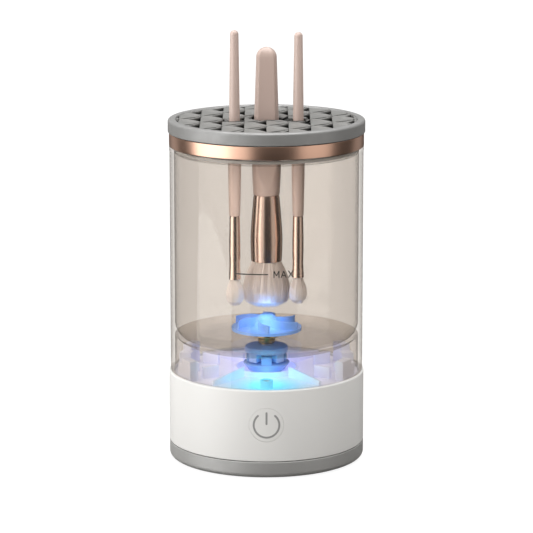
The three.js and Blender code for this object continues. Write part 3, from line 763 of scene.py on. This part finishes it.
def make_bottom_cover():
    inner = WALL_INNER - 0.3
    profile = [
        (0, COVER_BOTTOM), (GROOVE_INNER - 0.2, COVER_BOTTOM), (GROOVE_INNER, 0.6),
        (GROOVE_INNER, GROOVE_TOP), (GROOVE_OUTER, GROOVE_TOP),
        (GROOVE_OUTER, 0.6), (GROOVE_OUTER + 0.2, COVER_BOTTOM),
        *arc(BASE_RADIUS - COVER_EDGE, COVER_BOTTOM + COVER_EDGE, COVER_EDGE, -90, 0, 10),
        (BASE_RADIUS, COVER_TOP - 0.3), (BASE_RADIUS - 0.3, COVER_TOP),
        (inner, COVER_TOP), (inner, COVER_STEP), (45.2, COVER_STEP), (45.2, COVER_FLOOR), (0, COVER_FLOOR),
    ]
    bm = bmesh.new()
    lathe(bm, profile, VERY_ROUND)
    cover = build(bm, "bottom_cover_shell", MATERIALS["grey_plastic"])
    screw_hole = [(0, -1), (3.3, -1), (3.1, 0.7), (3.1, 2.6)]
    screw_hole += [(COVER_POST_BORE, 2.6), (COVER_POST_BORE, 4), (0, 4)]
    posts = bmesh.new()
    cutters = []
    for place in cover_screw_places():
        lathe(posts, tube(COVER_POST_BORE, COVER_POST, COVER_FLOOR - 0.1, COVER_STEP), SMALL_ROUND, place)
        cutters.append(bmesh.new())
        lathe(cutters[-1], screw_hole, SMALL_ROUND, place)
    add_piece(posts, "bottom_cover_posts", "bottom_cover", stands_for_it=False)
    finish_piece(carve(cover, *cutters), "bottom_cover")


def make_housing():
    shell = [
        (BASE_RADIUS, HOUSING_BOTTOM), (BASE_RADIUS, HOUSING_TOP), (WALL_INNER, HOUSING_TOP),
        (WALL_INNER, LEDGE_TOP), (LEDGE_INNER, LEDGE_TOP), (LEDGE_INNER, 39.6),
        (WALL_INNER, 39), (WALL_INNER, HOUSING_BOTTOM),
    ]
    bm = bmesh.new()
    lathe(bm, rounded(shell, 0.6), VERY_ROUND)
    housing = build(bm, "housing_shell", MATERIALS["white_plastic"])
    button = bmesh.new()
    level_bar(button, circle(0, BUTTON_HEIGHT, BUTTON_HOLE, MEDIUM_ROUND), -BASE_RADIUS - 5, -40)
    port = bmesh.new()
    level_bar(port, slot_outline(PORT_HOLE_WIDTH, PORT_HOLE_HEIGHT, PORT_MIDDLE), 40, BASE_RADIUS + 5)
    finish_piece(carve(housing, button, port), "base_housing")
    bosses = bmesh.new()
    for place in cover_screw_places():
        lathe(bosses, tube(COVER_POST_BORE, COVER_POST, 12.3, 24), SMALL_ROUND, place)
    for place in deck_post_places():
        lathe(bosses, tube(1.45, 3.2, 34, 41.7), SMALL_ROUND, place)
    add_piece(bosses, "housing_bosses", "base_housing", stands_for_it=False)


def make_deck():
    bm = bmesh.new()
    lathe(bm, rounded(tube(8, WALL_INNER - 0.3, DECK_BOTTOM, DECK_TOP), 0.3))
    lathe(bm, rounded(tube(15, 16.6, DECK_TOP - 0.2, 46.8), 0.5), MEDIUM_ROUND)
    post = rounded([(1.8, 43.8), (3.4, 43.8), (3.4, 48.4), (2.7, 48.4), (2.7, 46), (1.8, 46)], 0.25)
    for place in deck_post_places():
        lathe(bm, post, 48, place)
    add_piece(bm, "deck_plate", "light_deck")
    bm = bmesh.new()
    foot = DECK_TOP - 0.1
    rib = [(RIB_START, -0.7), (RIB_END, -0.7), (RIB_END, 0.7), (RIB_START, 0.7)]
    for angle in (-129, -51, 51, 129):
        prism(bm, turned(rib, angle), foot,
              lambda p: 49.6 - 2.8 * (math.hypot(*p) - RIB_START) / (RIB_END - RIB_START))
    edge = WALL_INNER - 1.1
    blocks = [(40, edge, 12, 21, 12, 51.3), (41.5, edge, 20, 33, 12, 54.4), (28, 37, 26, 30, 3, 50.2)]
    for side in (0, 180):
        for turn in (-1, 1):
            for inner, outer, start, stop, steps, height in blocks:
                prism(bm, turned(sector(inner, outer, turn * start, turn * stop, steps), side), foot, height)
    add_piece(bm, "deck_walls", "light_deck", bevel=0.25, stands_for_it=False)


def screw_profile(head, head_height, shank, length):
    """A screw that points up from its head's face at 0, with a dished recess."""
    return rounded([(0, 0.9), (head * 0.42, 0.5), (head * 0.5, 0.0), (head, 0.0), (head, head_height),
                    (shank, head_height), (shank, length - 0.8), (0, length)], 0.2, 2)


def make_screws():
    kinds = [("cover", cover_screw_places(), bottom, 1, screw_profile(2.7, 1.6, 1.3, 19)),
             ("deck", deck_post_places(), top, -1, screw_profile(2.3, 1.5, 1.1, 10))]
    for kind, places, head_of, direction, outline in kinds:
        for i, place in enumerate(places):
            node = f"{kind}_screw_{i + 1}"
            profile = [(r, head_of(node) + direction * z) for r, z in outline]
            turned_piece(f"{node}_turned", profile, node, SMALL_ROUND, place)


def make_port():
    """Rear charging socket: a rounded metal shell with a tongue."""
    low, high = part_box("charging_port")
    middle = (low.z + high.z) / 2 / MM
    front, back = low.y / MM, high.y / MM
    bm = bmesh.new()
    loops = []
    for width, height, y in ((9, 3.2, front), (9, 3.2, back), (8.4, 2.6, back), (8.4, 2.6, front + 1.6)):
        loops.append([bm.verts.new((x, y, z)) for x, z in slot_outline(width, height, middle)])
    bridge(bm, loops)
    bm.faces.new(loops[0])
    bm.faces.new(loops[-1])
    tongue = [(-3.3, front + 1.2), (3.3, front + 1.2), (3.3, back - 1), (-3.3, back - 1)]
    prism(bm, tongue, middle - 0.3, middle + 0.3)
    add_piece(bm, "charging_port_shell", "charging_port")


# ---- power button ----------------------------------------------------
def on_housing(x, z, depth=0.0):
    """A point on the housing's round front at x, moved inwards by depth."""
    size = BASE_RADIUS - depth
    return x, -math.sqrt(size * size - x * x), z


def make_button():
    """A cap whose face follows the housing, its flange and stem behind it, and the printed symbol."""
    steps = [(2.5, 0), (5, 0), (7, 0), (8.3, 0), (8.55, 0.03), (BUTTON_RADIUS, 0.18), (BUTTON_RADIUS, 2.9)]
    bm = bmesh.new()
    loops = [[bm.verts.new(on_housing(0, BUTTON_HEIGHT))]]
    for size, depth in steps:
        edge = circle(0, BUTTON_HEIGHT, size, MEDIUM_ROUND)
        loops.append([bm.verts.new(on_housing(x, z, depth)) for x, z in edge])
    bridge(bm, loops)
    bm.faces.new(loops[-1])
    level_bar(bm, circle(0, BUTTON_HEIGHT, BUTTON_FLANGE, MEDIUM_ROUND), -45.7, -44.9)
    level_bar(bm, circle(0, BUTTON_HEIGHT, 2.0, 32), -47.2, -43.8)
    add_piece(bm, "button_face", "button_cap")
    bar = [(0, 0.6 + 5.6 * i / 12) for i in range(13)]
    strokes = {"ring": arc(0, 0, SYMBOL_RADIUS, 48, -228, 72), "bar": bar}
    for part, line in strokes.items():
        bm = bmesh.new()
        symbol_stroke(bm, line, SYMBOL_HALF_STROKE)
        add_piece(bm, f"symbol_{part}_ink", f"power_symbol_{part}")


def symbol_stroke(bm, line, half):
    """A printed stroke of even width along a line of (x, z) about the button's centre, with round ends."""
    points = [Vector(p) for p in line]
    left, right = [], []
    for i, point in enumerate(points):
        along = (points[min(i + 1, len(points) - 1)] - points[max(i - 1, 0)]).normalized()
        across = Vector((-along.y, along.x)) * half
        left.append(point + across)
        right.append(point - across)

    def cap(end, start):
        return [end + Vector(turned([start], -180 * k / CAP_STEPS)[0]) for k in range(1, CAP_STEPS)]

    outline = left + cap(points[-1], left[-1] - points[-1])
    outline += right[::-1] + cap(points[0], right[0] - points[0])
    over, under = [[bm.verts.new(on_housing(p.x, BUTTON_HEIGHT + p.y, depth)) for p in outline]
                   for depth in (-INK_PROUD, 0.2)]
    count = len(points)
    last = 2 * count + CAP_STEPS - 2
    for grid in (over, under):
        for i in range(count - 1):
            bm.faces.new((grid[i], grid[i + 1], grid[last - i - 1], grid[last - i]))
        bm.faces.new(grid[count - 1:count + CAP_STEPS])
        bm.faces.new(grid[last:] + grid[:1])
    bridge(bm, [over, under])


# ---- tank and drive --------------------------------------------------
def make_tank():
    corner_radius = TANK_INNER - CORNER
    corner_height = FLOOR_TOP + CORNER
    under = CORNER + FLOOR_TOP - FLOOR_UNDER
    reach = -math.degrees(math.acos(CORNER / under))
    profile = [
        (4.5, FLOOR_UNDER), *arc(corner_radius, corner_height, under, -90, reach, 14),
        (TANK_INNER, TANK_BOTTOM + 0.3), (TANK_INNER + 0.3, TANK_BOTTOM), (TANK_RADIUS - 0.3, TANK_BOTTOM),
        (TANK_RADIUS, TANK_BOTTOM + 0.3), (TANK_RADIUS, TANK_TOP - 1.9), (TANK_RADIUS + 0.2, TANK_TOP - 1.5),
        (TANK_RADIUS + 0.2, TANK_TOP - 0.4), (TANK_RADIUS - 0.3, TANK_TOP), (TANK_INNER + 0.3, TANK_TOP),
        (TANK_INNER, TANK_TOP - 0.3), *arc(corner_radius, corner_height, CORNER, 0, -90, 16),
        (4.5, FLOOR_TOP),
    ]
    turned_piece("tank_shell", profile, "tank", VERY_ROUND)
    make_fill_mark()
    bush = [(SHAFT_BORE, 58.9), (4.2, 58.9), (4.2, 62.3), (6.4, 62.3), (6.4, 63.6), (SHAFT_BORE, 63.6)]
    turned_piece("floor_bush_turned", rounded(bush, 0.3), "floor_bush", SMALL_ROUND)
    seal = [(SHAFT_BORE, 63.9), (4.6, 63.9), (4.2, 64.6), (2.6, 65.4), (SHAFT_BORE, 65.4)]
    turned_piece("shaft_seal_soft", rounded(seal, 0.2), "shaft_seal", SMALL_ROUND)


def wrap_on_tank(x, z, proud):
    angle = x / TANK_RADIUS
    size = TANK_RADIUS + proud
    return size * math.sin(angle), -size * math.cos(angle), z


def printed_line(bm, start, stop, thickness):
    """A thin printed stroke on the front of the tank between two (x, z) points."""
    start, stop = Vector(start), Vector(stop)
    along = (stop - start).normalized()
    across = Vector((-along.y, along.x)) * thickness / 2
    steps = 12
    edges = []
    for proud, side in ((MARK_PROUD, 1), (MARK_PROUD, -1), (MARK_BACK, -1), (MARK_BACK, 1)):
        line = [start.lerp(stop, i / steps) + across * side for i in range(steps + 1)]
        edges.append([bm.verts.new(wrap_on_tank(p.x, p.y, proud)) for p in line])
    for near, far in zip(edges, edges[1:] + edges[:1]):
        for i in range(steps):
            bm.faces.new((near[i], near[i + 1], far[i + 1], far[i]))
    for i in (0, steps):
        bm.faces.new([edge[i] for edge in edges])


def make_fill_mark():
    """The generic fill line with MAX beside it, printed on the front of the tank."""
    bm = bmesh.new()
    printed_line(bm, (MARK_LEFT, MARK_HEIGHT), (MARK_RIGHT, MARK_HEIGHT), MARK_LINE)
    base = MARK_HEIGHT - LETTER_HEIGHT / 2
    for i, strokes in enumerate(LETTERS.values()):
        left = LETTERS_LEFT + i * LETTER_PITCH
        for x0, z0, x1, z1 in strokes:
            printed_line(bm, (left + x0 * LETTER_WIDTH, base + z0 * LETTER_HEIGHT),
                         (left + x1 * LETTER_WIDTH, base + z1 * LETTER_HEIGHT), LETTER_STROKE)
    mark = build(bm, "fill_mark", MATERIALS["mark_grey"])
    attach(mark, "tank")


def blade_outline(steps=14):
    """A swept impeller blade seen from above."""
    sides = ([], [])
    for i in range(steps + 1):
        t = i / steps
        size = 4.2 + 13.2 * t
        bend = math.radians(34 * t * t)
        for side, points in zip((1, -1), sides):
            half = 0.75 * side * (1 - 0.35 * t)
            points.append((size * math.cos(bend) + half * math.sin(bend),
                           size * math.sin(bend) - half * math.cos(bend)))
    return sides[0] + sides[1][::-1]


def add_teeth(bm, first, low, high):
    """Four coupling teeth between two heights; first is the angle of one of them."""
    for i in range(4):
        angle = first + 90 * i
        outline = sector(TOOTH_INNER, TOOTH_OUTER, angle - TOOTH_HALF_ANGLE, angle + TOOTH_HALF_ANGLE)
        prism(bm, outline, low, high)


def make_drive():
    low = bottom("drive_coupling")
    hub = [(SHAFT_BORE, low), (9.2, low), (9.8, low + 0.6), (10.6, low + 1.8), (11.6, HUB_TOP - 1.2),
           (12, HUB_TOP - 0.5), (11.5, HUB_TOP), (SHAFT_BORE, HUB_TOP)]
    bm = bmesh.new()
    lathe(bm, rounded(hub, 0.4), 128)
    add_teeth(bm, 0, HUB_TOP - 0.1, top("drive_coupling"))
    add_piece(bm, "drive_hub", "drive_coupling", "hub_blue", bevel=0.2)
    bm = bmesh.new()
    lathe(bm, rounded(tube(SHAFT_BORE, 11, COUPLING_BOTTOM, top("driven_coupling")), 0.4), 128)
    add_teeth(bm, 45, bottom("driven_coupling"), COUPLING_BOTTOM + 0.1)
    add_piece(bm, "driven_dogs", "driven_coupling", "white_coupling", bevel=0.2)
    for shaft in ("motor_shaft", "impeller_shaft"):
        rod = rounded(tube(0, SHAFT_RADIUS, bottom(shaft), top(shaft)), 0.25)
        turned_piece(f"{shaft}_turned", rod, shaft, SMALL_ROUND)
    clip = rounded(tube(SHAFT_BORE, 3.2, bottom("shaft_clip"), top("shaft_clip")), 0.2)
    turned_piece("shaft_clip_turned", clip, "shaft_clip", SMALL_ROUND)
    make_impeller()


def make_impeller():
    low, high = bottom("impeller"), top("impeller")
    wheel = [
        (SHAFT_BORE, low), (WHEEL_RADIUS, low), (WHEEL_RADIUS, low + 1.5), (7, low + 1.9), (5.6, high - 2.4),
        (4.6, high - 1.0), (3, high - 0.2), (0, high), (0, high - 2.4), (SHAFT_BORE, high - 2.6),
    ]
    bm = bmesh.new()
    lathe(bm, wheel, 128)
    for i in range(6):
        prism(bm, turned(blade_outline(), 60 * i), low + 1,
              lambda p: high - 1.6 - 1.2 * (math.hypot(*p) / WHEEL_RADIUS) ** 3)
    add_piece(bm, "impeller_wheel", "impeller")


# ---- lid -------------------------------------------------------------
def make_lid():
    plug = TANK_INNER - 0.3
    carrier = rounded([
        (43.8, 158.4), (plug, 158.4), (plug, 159.2), (45.2, 159.2), (45.2, 161.5), (plug, 161.5),
        (plug, RING_BOTTOM), (47.9, RING_BOTTOM), (47.9, RING_TOP), (45.1, RING_TOP), (45.1, 164.6),
        (43.8, 163.6),
    ], 0.25)
    turned_piece("lid_frame_turned", carrier, "lid_frame", material="lip_plastic")
    gasket = rounded(tube(45.5, plug, 159.5, 161.2), 0.5)
    turned_piece("lid_gasket_soft", gasket, "lid_gasket", material="pale_silicone")
    ring = rounded(tube(48.2, RING_RADIUS, RING_BOTTOM, RING_TOP), 0.35)
    turned_piece("trim_ring_polished", ring, "trim_ring", VERY_ROUND)
    cap = [
        (FIELD_RADIUS - 0.2, FIELD_TOP - 1.7), (42.8, FIELD_TOP - 1.7), (42.8, 166),
        (44.7, 166), (44.7, CAP_BOTTOM), (CAP_RADIUS - 0.25, CAP_BOTTOM), (CAP_RADIUS, CAP_BOTTOM + 0.3),
        *arc(CAP_RADIUS - CAP_EDGE, CAP_TOP - CAP_EDGE, CAP_EDGE, 0, 90, 8),
        (FIELD_RADIUS + 0.5, CAP_TOP), (FIELD_RADIUS + 0.1, CAP_TOP - 0.25),
        (FIELD_RADIUS - 0.2, FIELD_TOP - 0.3),
    ]
    turned_piece("lid_cap_rim", cap, "brush_holder", VERY_ROUND)
    bm = bmesh.new()
    add_flaps(bm)
    add_piece(bm, "lid_flaps", "brush_holder", "flap_silicone_painted_light_and_shade", stands_for_it=False)


def open_round_brushes(x, y, z, root_x):
    """Keeps a flap inside the rim; where a brush stands it draws back towards its root and bends down."""
    size = math.hypot(x, y)
    limit = FIELD_RADIUS - 0.1
    if size > limit:
        x, y = x * limit / size, y * limit / size
    for brush, (bx, by) in BRUSH_CENTRES.items():
        hole = BRUSH_HOLES[brush] + HOLE_GAP
        away = math.hypot(x - bx, y - by)
        if away < hole + BEND_REACH:
            bend = 1 - max(0.0, away - hole) / BEND_REACH
            z -= BEND_DEPTH * bend * bend
        if abs(y - by) < hole + 1.0:
            reach = math.sqrt(max(0.0, hole * hole - (y - by) ** 2))
            x = max(x, bx + reach) if root_x > bx else min(x, bx - reach)
    return x, y, z


def add_flaps(bm):
    """A lattice of diamond cells of two petals each, webs between them and a collar at each brush."""
    lattice = [(i, j) for i in range(-5, 6) for j in range(-5, 6)]
    for i, j in lattice:
        cx, cy = i * PITCH_X, j * PITCH_Y
        if (i + j) % 2 == 0 or math.hypot(max(0, abs(cx) - PITCH_X), cy) > FIELD_RADIUS:
            continue
        near_rim = math.hypot(abs(cx), cy) > FIELD_RADIUS - 3
        for side in (-1, 1):
            add_petal(bm, cx, cy, side, near_rim)
    for i, j in lattice:
        if (i + j) % 2 == 0:
            for lean in (-1, 1):
                add_web(bm, i * PITCH_X, j * PITCH_Y, lean)
    for brush in BRUSH_HOLES:
        add_collar(bm, brush)


def add_collar(bm, brush):
    """The flaps that a brush pushes down: a funnel round its handle, clear of it."""
    hole = BRUSH_HOLES[brush]
    outer = hole + 3.8
    funnel = [(hole, -4.6), (hole + 0.5, -4.8), (outer, -2.6), (outer, -1), (hole + 1.6, -1.7), (hole, -3.8)]
    lathe(bm, [(r, FIELD_TOP + z) for r, z in rounded(funnel, 0.4)], SMALL_ROUND, BRUSH_CENTRES[brush])


def add_petal(bm, cx, cy, side, near_rim):
    """One petal of the cell at (cx, cy): side -1 is the left one, which folds down into a V at the slit."""
    root_x = cx + side * PITCH_X
    notch = 0.0
    if side < 0:
        notch = RIM_NOTCH if near_rim else NOTCH

    def surface(s, v):
        w = 2 * v - 1
        open_share = max(0.0, 1 - abs(w) / SLIT_SHARE)
        edge = 1 - notch * open_share
        u = 2 * s * edge if s < 0.5 else edge + (2 * s - 1) * (1 - edge)
        plunge = max(0.0, 2 * s - 1) if notch else 0.0
        inset = 1 - (0.24 if w * side < 0 else 0.1) * math.sin(math.pi * u)
        x = root_x + u * (cx - root_x)
        y = cy + u * PITCH_Y * w * inset
        z = FIELD_TOP - 0.1 - 0.2 * abs(w) ** 3 * math.sin(math.pi * u)
        z -= FOLD_DEPTH * min(1.0, 7.0 * plunge) * min(1.0, 4.0 * open_share)
        if side < 0:
            z -= 0.45 * (1 - min(1.0, abs(w) / 0.3)) * math.sin(math.pi * min(1.0, u / max(edge, 0.1)) / 2)
        else:
            z += 0.25 * open_share * u * u
        return open_round_brushes(x, y, z, root_x)

    patch(bm, surface, 14, 24, FLAP_THICKNESS)


def add_web(bm, x0, y0, lean):
    """The narrow lens of silicone that runs from one lattice point to the next."""
    dx, dy = PITCH_X, lean * PITCH_Y
    if min(math.hypot(x0, y0), math.hypot(x0 + dx, y0 + dy)) > FIELD_RADIUS:
        return
    for brush, (bx, by) in BRUSH_CENTRES.items():
        near = min(math.hypot(x0 + dx * k / 12 - bx, y0 + dy * k / 12 - by) for k in range(13))
        if near < BRUSH_HOLES[brush] + WEB_CLEARANCE:
            return
    length = math.hypot(dx, dy)
    crest = 0.38 if lean < 0 else -2.6

    def surface(u, v):
        t = 2 * v - 1
        swell = math.sin(math.pi * u)
        half = 0.45 + WEB_WIDTH * swell
        x = x0 + dx * u - dy / length * t * half
        y = y0 + dy * u + dx / length * t * half
        z = FIELD_TOP + crest * swell * (1 - t * t) + 0.12 - 0.35 * t * t * swell
        return open_round_brushes(x, y, z, x)

    patch(bm, surface, 14, 8, WEB_THICKNESS)


# ---- brushes ---------------------------------------------------------
def smooth_profile(knots, steps=6):
    """A soft curve through (radius, z) knots."""
    points = []
    for i in range(len(knots) - 1):
        around = [knots[max(i - 1, 0)], knots[i], knots[i + 1], knots[min(i + 2, len(knots) - 1)]]
        for k in range(steps):
            t = k / steps
            points.append(tuple(
                0.5 * (2 * b + (c - a) * t + (2 * a - 5 * b + 4 * c - d) * t * t
                       + (3 * b - a - 3 * c + d) * t ** 3)
                for a, b, c, d in zip(*around)))
    return points + [knots[-1]]


def flare(knots, z):
    """Radius of a bristle bundle at z, between (radius, z) knots that go down."""
    for (r0, z0), (r1, z1) in zip(knots, knots[1:]):
        if z0 >= z >= z1:
            t = (z0 - z) / (z0 - z1)
            t = t * t * (3 - 2 * t) * 0.5 + t * 0.5
            return r0 + (r1 - r0) * t
    return knots[-1][0]


def add_bristles(bm, at, knots, tip, count, thickness, seed):
    """Separate tapered hairs from the ferrule down to a domed tip."""
    generator = random.Random(seed)
    low_edge = min(z for _, z in knots)
    high = knots[0][1]
    levels = 6
    for _ in range(count):
        share = math.sqrt(generator.random())
        angle = generator.random() * 2 * math.pi
        end = tip + (low_edge - tip) * (share ** 3) + generator.uniform(-0.5, 0.6)
        sway = generator.uniform(-0.05, 0.05)
        rings = []
        for k in range(levels + 1):
            t = k / levels
            z = high + (end - high) * t
            size = flare(knots, max(z, low_edge)) * share
            turn = angle + sway * t * t
            x, y = at[0] + size * math.cos(turn), at[1] + size * math.sin(turn)
            half = thickness * (1 - 0.75 * t * t)
            corners = circle(x, y, half, 3, math.degrees(turn))
            rings.append([bm.verts.new((cx, cy, z)) for cx, cy in corners])
        bridge(bm, rings)
        bm.faces.new(rings[0])
        bm.faces.new(rings[-1][::-1])


def flatten_front(bm, at, low):
    """Presses a flat into the front of a round handle, growing from the height low."""
    for vertex in bm.verts:
        dx, dy = vertex.co.x - at[0], vertex.co.y - at[1]
        grow = min(1.0, max(0.0, (vertex.co.z - low) / 12))
        limit = -math.hypot(dx, dy) * (1 - 0.27 * grow)
        vertex.co.y = at[1] + max(dy, limit)


def make_brush(brush, handle_knots, ferrule_knots, bristle_knots, tip, count):
    """One brush; every profile is a list of (radius, z)."""
    at = BRUSH_CENTRES[brush]
    high = ferrule_knots[-1][1]
    tenon = ferrule_knots[-1][0] - FERRULE_WALL - 0.3
    profile = [(0, high - 9), (tenon - 0.3, high - 9), (tenon, high - 8.7), (tenon, high + 0.3)]
    profile += smooth_profile(handle_knots)
    dome_radius, dome_bottom = handle_knots[-1]
    dome = top(f"{brush}_handle") - dome_bottom
    profile += [(x, dome_bottom + dome * y / dome_radius) for x, y in arc(0, 0, dome_radius, 10, 80, 7)]
    profile.append((0, dome_bottom + dome))
    bm = bmesh.new()
    lathe(bm, profile, MEDIUM_ROUND, at)
    if brush == "middle":
        flatten_front(bm, at, high + 4)
    add_piece(bm, f"{brush}_handle_lacquer", f"{brush}_handle")
    outer = smooth_profile(ferrule_knots)
    outer[-1] = (outer[-1][0] - 0.12, high)
    inner = [(r - FERRULE_WALL, z) for r, z in reversed(outer)]
    ferrule = f"{brush}_ferrule"
    turned_piece(f"{ferrule}_polished", outer + inner, ferrule, MEDIUM_ROUND, at, "ferrule_gold")
    start, stop = bristle_knots[0][1], bristle_knots[-1][1]
    heights = [start + (stop - start) * k / 14 for k in range(15)]
    core = [(0, start), *[(0.93 * flare(bristle_knots, z), z) for z in heights], (0, tip + 2)]
    bm = bmesh.new()
    lathe(bm, core, SMALL_ROUND, at)
    add_bristles(bm, at, bristle_knots, tip, count, 0.13 if brush == "middle" else 0.09, sum(map(ord, brush)))
    add_piece(bm, f"{brush}_bristle_hairs", f"{brush}_bristles")


def make_brushes():
    for brush in ("left", "right"):
        low, high = bottom(f"{brush}_ferrule"), top(f"{brush}_ferrule")
        end = top(f"{brush}_handle") - 2.1
        handle = [(2.8, high + 0.3), (3.1, 138), (3.3, 152), (2.95, 165), (2.72, 176), (2.55, 190),
                  (2.12, end)]
        ferrule = [(3.1, low), (2.85, low + 4), (2.72, low + 8), (2.85, low + 14), (2.8, low + 22),
                   (2.6, high)]
        bristles = [(2.2, low + 2.4), (2.3, low - 0.2), (3.1, low - 2.2), (4.5, low - 6), (4.8, low - 9),
                    (4.1, low - 11.6)]
        make_brush(brush, handle, ferrule, bristles, bottom(f"{brush}_bristles") + 0.6, 420)
    low, high = bottom("middle_ferrule") - 1.1, top("middle_ferrule") - 1.1
    end = top("middle_handle") - 5.2
    handle = [(6.7, high + 0.3), (7.15, 143), (7.3, 150), (6.9, 160), (6.35, 173), (5.75, 190), (5.25, end)]
    ferrule = [(7.85, low), (8.1, low + 6), (8.15, low + 13), (7.6, low + 22), (6.55, high)]
    bristles = [(7.0, low + 3), (7.4, low - 0.4), (9.6, low - 5), (11.5, low - 10), (12.6, low - 15.5),
                (11.4, low - 20.5)]
    make_brush("middle", handle, ferrule, bristles, bottom("middle_bristles") + 0.7, 1500)


make_camera()
make_floor()
make_light()
paint_frame()
make_base()
make_button()
make_tank()
make_drive()
make_lid()
make_brushes()
